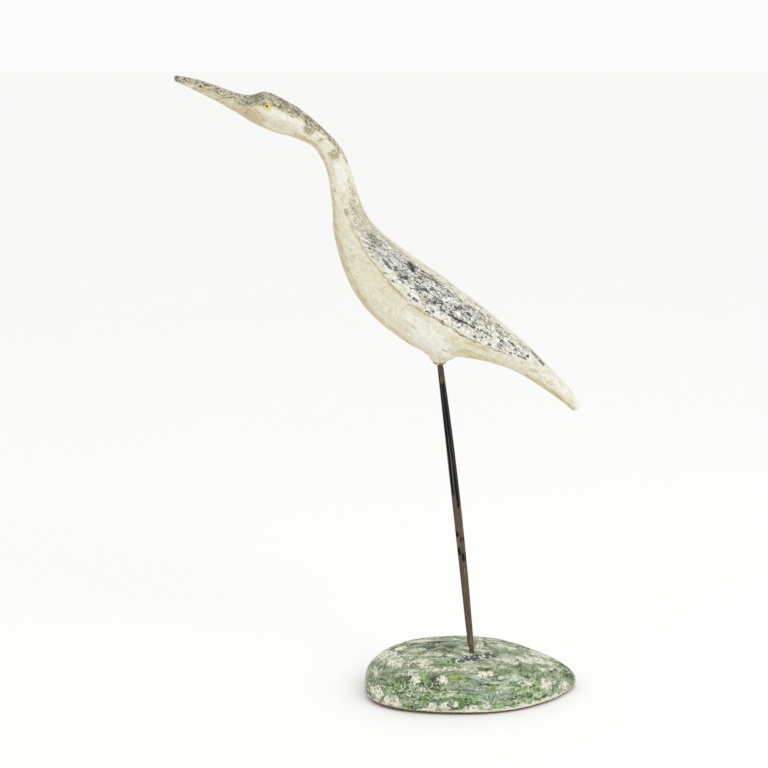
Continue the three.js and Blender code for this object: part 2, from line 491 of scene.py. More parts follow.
class Effects:
    """The patterns that several finishes share, each built once as a group."""

    def __init__(self) -> None:
        """Builds the groups."""
        self.flakes = self._flakes()
        self.islands = self._islands()
        self.mottle = self._mottle()
        self.dots = self._dots()

    @staticmethod
    def _group(name: str, numbers: Sequence[str], outputs: Sequence[str]) -> tuple[Bench, Value, object]:
        """Starts a group that reads a place and some numbers.

        Args:
            name: The group's name.
            numbers: The names of its inputs beside the place.
            outputs: The names of its outputs, which are numbers.

        Returns:
            The bench, the outputs of its input node and the inputs of its output node.
        """
        tree = bpy.data.node_groups.new(name, "ShaderNodeTree")
        tree.interface.new_socket("Place", in_out="INPUT", socket_type="NodeSocketVector")
        for label in numbers:
            tree.interface.new_socket(label, in_out="INPUT", socket_type="NodeSocketFloat")
        for label in outputs:
            tree.interface.new_socket(label, in_out="OUTPUT", socket_type="NodeSocketFloat")
        given = tree.nodes.new("NodeGroupInput").outputs
        wanted = tree.nodes.new("NodeGroupOutput").inputs
        return Bench(tree), given, wanted

    @staticmethod
    def _warped(bench: Bench, place: Value, scale: Value, reach: Value) -> Value:
        """Shifts a place by noise, so that straight rims of cells turn ragged."""
        spread = bench.cloud(place, scale, 4.0, 0.6, "Color")
        shift = bench.vector("SUBTRACT", spread, (0.5, 0.5, 0.5))
        return bench.vector("ADD", place, bench.vector("SCALE", shift, bench.math("DIVIDE", reach, scale)))

    def _flakes(self) -> bpy.types.NodeTree:
        """Angular flakes of paint with gaps between them.

        Returns:
            The group.  Cover is the share of flakes that hold, Mask is 1 on a flake, and Tone is a
            number from 0 to 1 that is the flake's own.
        """
        bench, given, wanted = self._group("paint_flakes", ("Scale", "Cover", "Gap", "Ragged"),
                                           ("Mask", "Tone"))
        warped = self._warped(bench, given["Place"], given["Scale"], given["Ragged"])
        colour = bench.cells(warped, given["Scale"], output="Color")
        rim = bench.cells(warped, given["Scale"], "DISTANCE_TO_EDGE")
        fine = bench.sway(given["Place"], bench.times(given["Scale"], 3.5), 3.0)
        nibbled = bench.total(rim, bench.times(fine, 0.4))
        cell = bench.part(colour, "X")
        holds = bench.rise(bench.math("SUBTRACT", given["Cover"], cell), -0.02, 0.02)
        inside = bench.rise(nibbled, bench.times(given["Gap"], 0.5), bench.times(given["Gap"], 1.5))
        bench.feed(wanted["Mask"], bench.times(holds, inside))
        bench.feed(wanted["Tone"], bench.part(colour, "Y"))
        return bench.tree

    def _islands(self) -> bpy.types.NodeTree:
        """Ragged islands of a coat, or holes worn through one, each with a thin rim.

        Returns:
            The group.  Cover is how much of the surface they take, Mask is 1 on an island, and
            Rim is 1 along its shore.
        """
        bench, given, wanted = self._group("islands", ("Scale", "Cover"), ("Mask", "Rim"))
        clouds = bench.cloud(given["Place"], given["Scale"], 7.0, 0.76)
        level = bench.total(clouds, bench.times(given["Cover"], 0.32))
        mask = bench.rise(level, 0.735, 0.75)
        bench.feed(wanted["Mask"], mask)
        bench.feed(wanted["Rim"], bench.math("SUBTRACT", bench.rise(level, 0.7, 0.725), mask))
        return bench.tree

    def _mottle(self) -> bpy.types.NodeTree:
        """Blotches of one tone on another.

        Returns:
            The group.  Mask is 1 in a blotch.
        """
        bench, given, wanted = self._group("mottle", ("Scale", "Low", "High"), ("Mask",))
        clouds = bench.cloud(given["Place"], given["Scale"], 6.0, 0.62)
        bench.feed(wanted["Mask"], bench.rise(clouds, given["Low"], given["High"]))
        return bench.tree

    def _dots(self) -> bpy.types.NodeTree:
        """Small scattered dots, such as specks of dirt or pits.

        Returns:
            The group.  Mask is 1 on a dot, and Share is how many of the cells hold one.
        """
        bench, given, wanted = self._group("dots", ("Scale", "Size", "Share"), ("Mask",))
        away = bench.cells(given["Place"], given["Scale"])
        cell = bench.part(bench.cells(given["Place"], given["Scale"], output="Color"), "X")
        holds = bench.rise(bench.math("SUBTRACT", given["Share"], cell), -0.01, 0.01)
        dot = bench.fall(away, bench.times(given["Size"], 0.6), given["Size"])
        bench.feed(wanted["Mask"], bench.times(holds, dot))
        return bench.tree


class Finish:
    """A finish: it lays its nodes on a bench and gives a material."""

    name = "finish"

    def dress(self, bench: Bench, shader: bpy.types.Node, effects: Effects) -> None:
        """Joins the finish's patterns to the shader.

        Args:
            bench: The bench to lay the nodes on.
            shader: The shader that they feed.
            effects: The shared patterns.
        """
        raise NotImplementedError

    def material(self, effects: Effects) -> bpy.types.Material:
        """Makes the material.

        Args:
            effects: The shared patterns.

        Returns:
            The material.
        """
        material = bpy.data.materials.new(self.name)
        material.use_nodes = True
        tree = material.node_tree
        shader = next(node for node in tree.nodes if node.type == "BSDF_PRINCIPLED")
        shader.location = (2600, 0)
        self.dress(Bench(tree), shader, effects)
        return material


@dataclass(frozen=True)
class Guide:
    """What the layers of a coat of paint follow.

    Args:
        place: The object's own coordinates.
        run: The same, or how far along and round the bird a point lies.
        wild: Unevenness round 1, which frays the rims of the zones.
    """

    place: Value
    run: Value
    wild: Value

    @classmethod
    def over(cls, bench: Bench, run: Value, stretch: Point, scale: float, depth: float) -> "Guide":
        """Makes a guide whose unevenness is drawn out lengthwise.

        Args:
            bench: The bench to lay the nodes on.
            run: What the strokes of the brush follow.
            stretch: How much finer the unevenness is along each axis of the run.
            scale: How many of its swells go to a metre.
            depth: How strong it is.

        Returns:
            The guide.
        """
        clouds = bench.sway(bench.vector("MULTIPLY", run, stretch), scale, 6.0, 0.7)
        swell = bench.times(clouds, depth)
        return cls(bench.place(), run, bench.total(1.0, swell))

    def zone(self, bench: Bench, name: str) -> Value:
        """How strong a zone of the piece is, with frayed rims."""
        return bench.times(bench.noted(name), self.wild)

    def drawn(self, bench: Bench, stretch: Point) -> Value:
        """The run, drawn out by a stretch for each axis."""
        return bench.vector("MULTIPLY", self.run, stretch)


class Coat:
    """The colour of a finish so far, over which one tone after the other is brushed."""

    def __init__(self, bench: Bench, ground: Value) -> None:
        """Starts with the colour of the ground."""
        self.bench = bench
        self.colour = ground

    def brush(self, tone: Value, *shares: Value) -> None:
        """Brushes a tone over the colour so far.

        Args:
            tone: The tone.
            *shares: Numbers whose product, kept between 0 and 1, says how well the tone covers.
        """
        self.colour = self.bench.mix(self.bench.times(*shares), self.colour, tone)


@dataclass(frozen=True)
class BirdPaint(Finish):
    """Old oil paint on carved wood: ivory and cream, speckled on the crown, blue-black on the wings.

    Args:
        relief: How high the relief of the paint is.
        bill: Between which lengths from the bill's tip its fine lines fade.
        line: Between which distances from its middle the painted shadow line under the wing's edge fades.
        stroke: Between which distances from their rim the dark strokes fade.
        wander: How far the line and the strokes waver.
    """

    name = "old_bird_paint"
    ivory: Colour = srgb(232, 229, 208)
    cream: Colour = srgb(220, 213, 186)
    ochre: Colour = srgb(204, 195, 164)
    light: Colour = srgb(240, 240, 230)
    tan: Colour = srgb(200, 180, 139)
    olive: Colour = srgb(203, 190, 132)
    chip: Colour = srgb(206, 180, 142)
    bare: Colour = srgb(124, 98, 62)
    hind_grey: Colour = srgb(204, 200, 168)
    crack: Colour = srgb(158, 137, 98)
    dirt: Colour = srgb(112, 98, 72)
    smear: Colour = srgb(178, 171, 138)
    brown: Colour = srgb(148, 134, 104)
    speck_dark: Colour = srgb(84, 78, 54)
    speck_pale: Colour = srgb(138, 130, 98)
    fleck: Colour = srgb(232, 227, 202)
    tip: Colour = srgb(72, 78, 66)
    wing_white: Colour = srgb(250, 250, 245)
    wing_shade: Colour = srgb(206, 208, 188)
    haze: Colour = srgb(160, 166, 156)
    moss: Colour = srgb(112, 112, 88)
    ink: Colour = srgb(26, 32, 38)
    charcoal: Colour = srgb(78, 88, 90)
    slate: Colour = srgb(146, 156, 150)
    beige: Colour = srgb(204, 190, 158)
    # Painted shadow: the brownish tone of the line under the wing's edge.
    wing_shadow_tone: Colour = srgb(180, 158, 108)
    relief: float = 0.8 * MM
    bill: tuple[float, float] = (90 * MM, 130 * MM)
    line: tuple[float, float] = (0.2 * MM, 1.9 * MM)
    stroke: tuple[float, float] = (-0.2 * MM, 0.3 * MM)
    wander: float = 7 * MM

    def dress(self, bench: Bench, shader: bpy.types.Node, effects: Effects) -> None:
        """Joins the bird's layers of paint to the shader.

        Args:
            bench: The bench to lay the nodes on.
            shader: The shader that they feed.
            effects: The shared patterns.
        """
        guide = Guide.over(bench, bench.noted("lengthwise", "Vector"), (0.5, 1.0, 1.0), 120.0, 4.5)
        fine = bench.cloud(guide.place, 640.0, 3.0, 0.7)
        coat = Coat(bench, self.ivory)
        self._ground(bench, effects, guide, coat)
        cracks = self._cracks(bench, effects, guide, coat)
        specks = self._crown(bench, effects, guide, coat)
        ink = self._wing(bench, effects, guide, coat)
        self._lines(bench, guide, coat)
        grainy = bench.math("SUBTRACT", bench.rise(fine, 0.3, 0.7), 0.5)
        coat.brush(self.light, grainy, 0.3)
        coat.brush(self.dirt, grainy, -0.4)
        bench.feed(shader.inputs["Base Color"], coat.colour)
        swell = bench.cloud(guide.place, 210.0, 4.0, 0.6)
        height = bench.total(
            bench.times(ink, 0.5), bench.times(specks, 0.35), bench.times(cracks, -0.7),
            bench.times(fine, 0.6), bench.times(swell, 0.6))
        bench.feed(shader.inputs["Normal"], bench.bump(height, self.relief, 0.9))
        rough = bench.total(0.62, bench.times(fine, 0.25), bench.times(ink, -0.12))
        bench.feed_all(shader, {"Roughness": rough, "Specular IOR Level": 0.35})

    def _ground(self, bench: Bench, effects: Effects, guide: Guide, coat: Coat) -> None:
        """The ivory ground, with its white, cream, tan, olive and grey parts."""
        blotch = bench.use(effects.mottle, Place=guide.drawn(bench, (0.4, 1.0, 1.0)), Scale=48.0,
                           Low=0.4, High=0.64)["Mask"]
        small = bench.use(effects.mottle, Place=guide.place, Scale=190.0, Low=0.44, High=0.6)["Mask"]
        streak = bench.use(effects.mottle, Place=guide.drawn(bench, (0.1, 1.0, 1.0)), Scale=260.0,
                           Low=0.44, High=0.62)["Mask"]
        coat.brush(self.cream, blotch, 0.8)
        coat.brush(self.ochre, small, 0.4)
        coat.brush(self.light, streak, 0.3)
        bill = bench.fall(bench.part(guide.run, "X"), *self.bill)
        collar = bench.times(bench.noted("collar"), bench.total(bench.times(bench.cloud(
            guide.place, 260.0, 5.0, 0.7), 3.0), -0.9))
        for name, low, high, depth, tone in (
                ("grey", 0.3, 1.0, 0.8, self.hind_grey), ("tan", 0.25, 1.0, 0.9, self.tan),
                ("olive", 0.25, 1.0, 0.85, self.olive), ("light", 0.35, 0.8, 0.85, self.light)):
            share = bench.rise(guide.zone(bench, name), low, high)
            broken = bench.total(bench.times(small, -0.3), depth)
            coat.brush(tone, share, broken)
        lines = bench.use(effects.mottle, Place=guide.drawn(bench, (0.14, 1.0, 1.0)), Scale=420.0,
                          Low=0.52, High=0.64)["Mask"]
        coat.brush(self.speck_pale, bill, lines, 0.5)
        coat.brush(self.bare, bench.rise(collar, 0.35, 0.5), 0.8)
        chips = bench.rise(guide.zone(bench, "chips"), 0.35, 0.7)
        coat.brush(self.chip, chips, bench.between(small, 0.75, 0.35))
        dots = bench.use(effects.dots, Place=guide.place, Scale=135.0, Size=0.13, Share=0.25)["Mask"]
        coat.brush(self.dirt, dots, 0.5)

    def _cracks(self, bench: Bench, effects: Effects, guide: Guide, coat: Coat) -> Value:
        """Paint that has crackled into small pale flakes, with dirt between them."""
        broken = bench.rise(bench.cloud(guide.place, 120.0, 4.0), 0.38, 0.54)
        share = bench.times(bench.rise(guide.zone(bench, "cracked"), 0.2, 0.9), bench.between(broken, 0.4, 1))
        flakes = bench.use(effects.flakes, Place=guide.drawn(bench, (0.8, 1.0, 1.0)), Scale=370.0,
                           Cover=1.1, Gap=0.13, Ragged=1.6)
        tone = bench.ramp(flakes["Tone"], ((0.12, self.tan), (0.45, self.ivory), (0.75, self.fleck)))
        coat.brush(tone, share, flakes["Mask"], 0.6)
        gaps = bench.times(share, bench.without(flakes["Mask"]))
        coat.brush(self.crack, gaps, 0.62)
        return gaps

    def _crown(self, bench: Bench, effects: Effects, guide: Guide, coat: Coat) -> Value:
        """The grey-brown specks on bill, crown and hind neck."""
        reach = guide.zone(bench, "crown")
        brown = bench.rise(guide.zone(bench, "brown"), 0.2, 0.9)
        smear = bench.mix(brown, self.smear, self.brown)
        coat.brush(smear, bench.rise(reach, 0.25, 0.75), 0.85)
        height = []
        for scale, cover, stretch in ((360.0, 1.1, 0.55), (640.0, 0.85, 0.7)):
            flakes = bench.use(effects.flakes, Place=guide.drawn(bench, (stretch, 1.0, 1.0)), Scale=scale,
                               Cover=bench.times(reach, cover), Gap=0.01, Ragged=1.8)
            shade = bench.total(flakes["Tone"], bench.times(brown, -0.1))
            tone = bench.ramp(shade, (
                (0.08, self.speck_dark), (0.22, self.speck_pale), (0.46, self.smear), (0.74, self.fleck)))
            held = bench.times(flakes["Mask"], bench.between(brown, 0.85, 0.45))
            coat.brush(tone, held)
            height.append(flakes["Mask"])
        tip = bench.rise(guide.zone(bench, "tip"), 0.35, 0.65)
        coat.brush(self.tip, tip, 0.65)
        return bench.times(*height)

    def _wing(self, bench: Bench, effects: Effects, guide: Guide, coat: Coat) -> Value:
        """The wings: flaking white, with streaks of blue-black that still hold."""
        patch = bench.use(effects.mottle, Place=guide.place, Scale=270.0, Low=0.42, High=0.56)["Mask"]
        white = bench.mix(patch, self.wing_white, self.wing_shade)
        coat.brush(white, bench.noted("wing"), 0.75)
        reach = guide.zone(bench, "dark")
        coat.brush(self.haze, bench.rise(reach, 0.1, 1.1), 0.5)
        mossy = bench.rise(guide.zone(bench, "moss"), 0.2, 0.8)
        heights = []
        for scale, cover, stretch in ((340.0, 0.8, 0.34), (620.0, 0.75, 0.5)):
            flakes = bench.use(effects.flakes, Place=guide.drawn(bench, (stretch, 1.0, 1.0)), Scale=scale,
                               Cover=bench.times(reach, cover), Gap=0.01, Ragged=1.8)
            tone = bench.ramp(flakes["Tone"], (
                (0.2, self.ink), (0.27, self.charcoal), (0.42, self.slate), (0.54, self.beige),
                (0.62, self.wing_white)))
            coat.brush(tone, flakes["Mask"], 0.9)
            heights.append(flakes["Mask"])
        streaks = bench.use(effects.islands, Place=guide.drawn(bench, (0.26, 1.0, 1.0)), Scale=340.0,
                            Cover=bench.times(bench.rise(reach, 0.1, 1.5), 0.98))["Mask"]
        tone = bench.mix(bench.rise(bench.cloud(guide.place, 330.0), 0.5, 0.7), self.ink, self.charcoal)
        coat.brush(tone, streaks, 0.9)
        greenish = bench.times(mossy, bench.most(streaks, *heights))
        coat.brush(self.moss, greenish, 0.6)
        elsewhere = bench.vector("ADD", guide.drawn(bench, (0.7, 1.0, 1.0)), (0.5, 0.13, 0.29))
        flecks = bench.use(effects.islands, Place=elsewhere, Scale=400.0, Cover=bench.times(
            bench.rise(reach, 0.0, 0.5), 0.5))["Mask"]
        ink = bench.most(streaks, *heights)
        coat.brush(self.wing_white, flecks, 0.92)
        return ink

    def _lines(self, bench: Bench, guide: Guide, coat: Coat) -> None:
        """The painted shadow line under the wing's edge, and the dark strokes above it."""
        # Painted shadow: a brownish line under the lip of the wing's edge.
        wobble = bench.times(bench.sway(guide.run, 120.0, 5.0, 0.6), self.wander)
        away = bench.math("ABSOLUTE", bench.total(bench.noted("line"), wobble))
        broken = bench.rise(bench.cloud(guide.place, 110.0, 4.0), 0.34, 0.5)
        share = bench.times(bench.noted("line_weight"), bench.between(broken, 0.25, 1.0))
        core = bench.times(bench.fall(away, *self.line), share)
        coat.brush(self.wing_shadow_tone, core, 0.95)
        rag = bench.times(bench.sway(guide.place, 330.0, 5.0, 0.7), self.wander)
        stroke = bench.fall(bench.total(bench.noted("stroke"), rag), *self.stroke)
        coat.brush(self.ink, stroke, 0.92)


@dataclass(frozen=True)
class MoundPaint(Finish):
    """Brushed greens, blue-black and teal, chipped and worn down to a cream ground.

    Args:
        relief: How high the relief of the paint is.
        thin_along: Between which X the coat gets thinner towards the pointed end.
        thin_up: Between which heights it gets thinner there.
        ragged: How far the rims at the foot waver.
        strip: Between which heights the bare strip at the foot ends.
        strip_gain: How much higher it reaches where the strip is marked.
        front: Between which X the edge of wood, which is also painted contact shadow, gets narrower.
        front_gain: How much higher that edge is at the blunt end.
        edge: Between which heights the edge of wood and painted contact shadow ends.
    """

    name = "old_mound_paint"
    deep: Colour = srgb(46, 62, 38)
    bottle: Colour = srgb(78, 102, 60)
    leaf: Colour = srgb(106, 144, 78)
    fresh: Colour = srgb(150, 188, 118)
    olive: Colour = srgb(118, 132, 98)
    sage: Colour = srgb(158, 170, 140)
    pale: Colour = srgb(208, 214, 190)
    teal: Colour = srgb(120, 150, 134)
    ice: Colour = srgb(196, 212, 202)
    ink: Colour = srgb(38, 50, 58)
    steel: Colour = srgb(92, 108, 116)
    gesso: Colour = srgb(250, 249, 231)
    blush: Colour = srgb(243, 234, 212)
    worn: Colour = srgb(236, 235, 209)
    lime: Colour = srgb(186, 206, 100)
    bright: Colour = srgb(134, 206, 118)
    # Browns of the bare wood at the foot, which also serve as painted contact shadow; the darker brown also
    # colours the dot.
    wood: Colour = srgb(142, 106, 66)
    wood_shadow_and_dot_brown: Colour = srgb(78, 56, 36)
    relief: float = 1.0 * MM
    thin_along: tuple[float, float] = (10 * MM, 100 * MM)
    thin_up: tuple[float, float] = (20 * MM, 42 * MM)
    ragged: float = 26 * MM
    strip: tuple[float, float] = (5.0 * MM, 6.0 * MM)
    strip_gain: float = 3.0 * MM
    front: tuple[float, float] = (-140 * MM, 60 * MM)
    front_gain: float = 2.0 * MM
    edge: tuple[float, float] = (2.7 * MM, 4.1 * MM)

    def dress(self, bench: Bench, shader: bpy.types.Node, effects: Effects) -> None:
        """Joins the mound's layers of paint to the shader.

        Args:
            bench: The bench to lay the nodes on.
            shader: The shader that they feed.
            effects: The shared patterns.
        """
        guide = Guide.over(bench, bench.place(), (0.7, 0.5, 1.0), 130.0, 4.0)
        coat, marks = self._greens(bench, effects, guide)
        chips = self._chips(bench, effects, guide, coat)
        self._foot(bench, effects, guide, coat)
        self._dabs(bench, guide, coat)
        self._rim(bench, guide, coat)
        bench.feed(shader.inputs["Base Color"], coat.colour)
        fine = bench.cloud(guide.place, 700.0, 4.0, 0.65)
        height = bench.total(
            bench.times(marks, 0.6), bench.times(chips, -0.8), bench.times(fine, 0.4))
        bench.feed(shader.inputs["Normal"], bench.bump(height, self.relief, 0.9))
        rough = bench.total(0.55, bench.times(fine, 0.2), bench.times(chips, 0.15))
        bench.feed_all(shader, {"Roughness": rough, "Specular IOR Level": 0.4})

    def _greens(self, bench: Bench, effects: Effects, guide: Guide) -> tuple[Coat, Value]:
        """The brushed coat, whose strokes and specks each have a green of their own."""
        broad = bench.cloud(guide.drawn(bench, (0.35, 0.5, 1.1)), 60.0, 6.0, 0.7)
        strokes, specks = (bench.use(
            effects.flakes, Place=guide.drawn(bench, (stretch, 0.4, 1.1)), Scale=scale, Cover=1.1,
            Gap=0.005, Ragged=ragged)["Tone"]
            for stretch, scale, ragged in ((0.13, 350.0, 1.5), (0.6, 540.0, 2.2)))
        vivid = bench.noted("vivid")
        fleck = bench.times(bench.math("SUBTRACT", specks, 0.5), bench.between(vivid, 0.2, 0.36))
        deep = guide.zone(bench, "deep")
        thin = bench.times(bench.rise(bench.part(guide.place, "X"), *self.thin_along),
                           bench.rise(bench.part(guide.place, "Z"), *self.thin_up))
        tone = bench.total(
            bench.times(broad, 0.7), bench.times(strokes, 0.3), fleck, 0.14,
            bench.times(deep, -0.12), bench.times(vivid, -0.03), bench.times(thin, 0.06))
        grey = bench.ramp(tone, (
            (0.38, self.deep), (0.53, self.olive), (0.67, self.sage), (0.8, self.pale), (0.91, self.gesso)))
        green = bench.ramp(tone, (
            (0.38, self.deep), (0.48, self.bottle), (0.58, self.leaf), (0.7, self.fresh), (0.84, self.pale)))
        wander = bench.times(bench.sway(guide.place, 60.0, 5.0), 2.2)
        coat = Coat(bench, grey)
        coat.brush(green, bench.rise(bench.total(vivid, wander), -0.25, 0.95))
        elsewhere = bench.vector("ADD", guide.drawn(bench, (0.25, 0.45, 1.1)), (0.31, 0.17, 0.0))
        cool = bench.noted("cool")
        cooled = bench.total(bench.cloud(elsewhere, 60.0, 5.0, 0.65), bench.times(cool, 0.14))
        coat.brush(self.teal, bench.rise(cooled, 0.54, 0.66), 0.45)
        icy = bench.use(effects.islands, Place=elsewhere, Scale=230.0, Cover=bench.total(
            0.36, bench.times(cool, 0.36)))
        coat.brush(self.ice, icy["Mask"], 0.75)
        shifted = bench.vector("ADD", guide.drawn(bench, (0.7, 0.35, 1.0)), (0.11, 0.93, 0.4))
        dark = bench.use(effects.islands, Place=shifted, Scale=210.0, Cover=bench.total(
            0.2, bench.times(deep, 0.55)))
        coat.brush(self.ink, dark["Mask"], 0.85)
        return coat, bench.total(strokes, specks)

    def _chips(self, bench: Bench, effects: Effects, guide: Guide, coat: Coat) -> Value:
        """Chips and worn places, where the cream ground shows, each chip ringed with painted shade."""
        warm = bench.rise(bench.cloud(guide.place, 110.0, 4.0), 0.42, 0.6)
        bare = bench.mix(bench.times(warm, 0.5), self.gesso, self.blush)
        worn = bench.noted("worn")
        rubbed = bench.use(effects.islands, Place=guide.drawn(bench, (0.6, 0.4, 1.0)), Scale=190.0,
                           Cover=bench.times(bench.rise(worn, -0.1, 0.9), 0.94))
        grime = bench.rise(bench.cloud(guide.drawn(bench, (0.6, 0.4, 1.0)), 330.0, 5.0, 0.7), 0.5, 0.6)
        old = bench.mix(bench.times(grime, 0.8), bench.mix(0.4, bare, self.worn), self.sage)
        coat.brush(old, rubbed["Mask"], 0.92)
        zone = bench.rise(guide.zone(bench, "chips"), 0.1, 0.85)
        chips = []
        for scale, base, gain in ((250.0, 0.12, 0.72), (380.0, 0.48, 0.34)):
            layer = bench.use(effects.islands, Place=guide.drawn(bench, (0.9, 0.5, 1.0)), Scale=scale,
                              Cover=bench.total(base, bench.times(zone, gain)))
            # Painted shade: a dark green rim round each chip, as if its raised edge cast a shadow.
            coat.brush(self.bottle, layer["Rim"], 0.55)
            coat.brush(bare, layer["Mask"], 0.95)
            chips.append(layer["Mask"])
        return bench.most(*chips, bench.times(rubbed["Mask"], 0.7))

    def _foot(self, bench: Bench, effects: Effects, guide: Guide, coat: Coat) -> None:
        """The flaked blue-black and white patch round the feet."""
        share = bench.rise(bench.total(bench.noted("foot"), bench.times(guide.wild, 0.4)), 0.75, 0.95)
        drawn = guide.drawn(bench, (1.0, 0.7, 1.5))
        flakes = bench.use(effects.flakes, Place=drawn, Scale=330.0, Cover=1.1, Gap=0.01, Ragged=1.8)
        tone = bench.ramp(flakes["Tone"], (
            (0.5, self.ink), (0.74, self.steel), (0.84, self.ice), (0.92, self.gesso)))
        patch = bench.mix(flakes["Mask"], self.sage, tone)
        coat.brush(patch, share, 0.92)

    def _dabs(self, bench: Bench, guide: Guide, coat: Coat) -> None:
        """A yellow-green dab on the front and a bright green spot with a dark dot."""
        lime = bench.rise(guide.zone(bench, "lime"), 0.3, 0.6)
        coat.brush(self.lime, lime, 0.65)
        green = bench.rise(guide.zone(bench, "bright"), 0.25, 0.45)
        coat.brush(self.bright, green, 0.6)
        coat.brush(self.wood_shadow_and_dot_brown, bench.rise(bench.noted("dot"), 0.3, 0.6))

    def _rim(self, bench: Bench, guide: Guide, coat: Coat) -> None:
        """The bare strip at the foot of the mound, and the brown wood under it, which also serves as painted
        contact shadow.
        """
        height = bench.part(guide.place, "Z")
        wave = bench.times(bench.sway(guide.place, 90.0, 6.0, 0.75), self.ragged)
        level = bench.total(height, wave, bench.times(bench.noted("strip"), -self.strip_gain))
        strip = bench.fall(level, *self.strip)
        bare = bench.times(strip, 0.9)
        coat.brush(bench.mix(0.5, self.gesso, self.worn), bare)
        # Painted shadow: the brown band of wood along the foot also stands for the contact shadow, and is
        # higher at the blunt end.
        lengthwise = guide.drawn(bench, (0.12, 1.0, 1.0))
        wood = bench.mix(bench.cloud(lengthwise, 240.0, 5.0, 0.6), self.wood_shadow_and_dot_brown, self.wood)
        front = bench.fall(bench.part(guide.place, "X"), *self.front)
        edge = bench.total(height, bench.times(wave, 0.1), bench.times(front, -self.front_gain))
        coat.brush(wood, bench.fall(edge, *self.edge))


@dataclass(frozen=True)
class RustyIron(Finish):
    """Iron rod: grey-brown rust, with glossy black paint that still holds on the upper half.

    Args:
        painted: Between which heights the paint holds.
        bare_edge: Above which height it holds on the rear edge too.
        marks: The height and half the length of each mark of paint below.
        shade_under_bird: Between which heights the painted shade under the bird sets in.
        ragged: How far the ends of the paint waver.
        low_rim: Over which height the paint's lower end fades, up and down.
        high_rim: The same of its upper end.
        bare_rim: The same of the bare rear edge.
        relief: How high the relief of rust and paint is.
    """

    name = "rusty_iron"
    brown: Colour = srgb(96, 79, 61)
    pale: Colour = srgb(134, 116, 94)
    dark: Colour = srgb(62, 50, 38)
    orange: Colour = srgb(128, 96, 66)
    black: Colour = srgb(8, 8, 10)
    # Painted highlight: the pale grey-green streak down the front of the black paint.
    painted_highlight: Colour = srgb(92, 98, 90)
    painted: tuple[float, float] = (0.258, 0.4205)
    bare_edge: float = 0.348
    marks: tuple[tuple[float, float], ...] = ((0.209, 0.005), (0.186, 0.008))
    shade_under_bird: tuple[float, float] = (415 * MM, 430 * MM)
    ragged: float = 44 * MM
    low_rim: float = 6 * MM
    high_rim: float = 2 * MM
    bare_rim: float = 12 * MM
    relief: float = 0.5 * MM

    def dress(self, bench: Bench, shader: bpy.types.Node, effects: Effects) -> None:
        """Joins the rust and the last of the paint to the shader.

        Args:
            bench: The bench to lay the nodes on.
            shader: The shader that they feed.
            effects: The shared patterns.
        """
        place = bench.place()
        drawn = bench.vector("MULTIPLY", place, (1.0, 1.0, 0.2))
        broad = bench.cloud(drawn, 260.0, 5.0, 0.62)
        coat = Coat(bench, bench.ramp(broad, (
            (0.34, self.dark), (0.44, self.brown), (0.56, self.brown), (0.68, self.pale))))
        spots = bench.use(effects.mottle, Place=place, Scale=420.0, Low=0.56, High=0.68)["Mask"]
        coat.brush(self.orange, spots, 0.5)
        pits = bench.use(effects.dots, Place=place, Scale=900.0, Size=0.4, Share=0.4)["Mask"]
        coat.brush(self.dark, pits, 0.6)
        # Painted shade: the rod darkens towards its top, where it runs up under the bird.
        shade_under_bird = bench.rise(bench.part(place, "Z"), *self.shade_under_bird)
        coat.brush(self.dark, shade_under_bird, 0.6)
        held = self._held(bench, place, drawn)
        chips = bench.use(effects.islands, Place=drawn, Scale=420.0, Cover=bench.between(held, 1.3, 0.3))
        paint = bench.times(bench.rise(held, 0.05, 0.3), bench.without(chips["Mask"]))
        # Painted highlight: a pale streak along the front of the black paint, where a lamp would glint on it.
        wander = bench.times(bench.sway(drawn, 70.0), 0.9)
        away = bench.math("ABSOLUTE", bench.total(bench.noted("flank"), wander, 0.36))
        gloss = bench.mix(bench.times(bench.fall(away, 0.05, 0.2), 0.6), self.black, self.painted_highlight)
        coat.brush(gloss, paint)
        bench.feed(shader.inputs["Base Color"], coat.colour)
        bench.feed(shader.inputs["Roughness"], bench.between(paint, bench.total(
            0.6, bench.times(broad, 0.25)), bench.total(0.22, bench.times(broad, 0.2))))
        bench.feed(shader.inputs["Specular IOR Level"], bench.between(paint, 0.4, 0.14))
        bench.feed(shader.inputs["Metallic"], bench.between(paint, 0.15, 0.0))
        fine = bench.cloud(place, 1100.0, 4.0, 0.65)
        rough = bench.total(
            bench.times(bench.between(paint, fine, bench.times(fine, 0.4)), 0.5),
            bench.times(broad, 0.6), bench.times(pits, -0.4), bench.times(paint, 0.35))
        bench.feed(shader.inputs["Normal"], bench.bump(rough, self.relief, 0.7))

    def _held(self, bench: Bench, place: Value, drawn: Value) -> Value:
        """Where the black paint still holds, from 0 to 1."""
        height = bench.part(place, "Z")
        level = bench.total(height, bench.times(bench.sway(drawn, 150.0, 5.0), self.ragged))
        low, high = self.painted
        held = bench.times(bench.rise(level, low - self.low_rim, low + self.low_rim),
                           bench.fall(level, high - self.high_rim, high + self.high_rim))
        rear = bench.total(bench.noted("flank"), bench.times(bench.sway(drawn, 240.0), 0.9))
        worn = bench.times(
            bench.rise(rear, 0.55, 0.75),
            bench.fall(height, self.bare_edge - self.bare_rim, self.bare_edge + self.bare_rim))
        held = bench.times(held, bench.without(worn))
        for middle, half in self.marks:
            away = bench.math("ABSOLUTE", bench.math("SUBTRACT", height, middle))
            held = bench.most(held, bench.times(bench.fall(away, half * 0.5, half), 0.75))
        return held


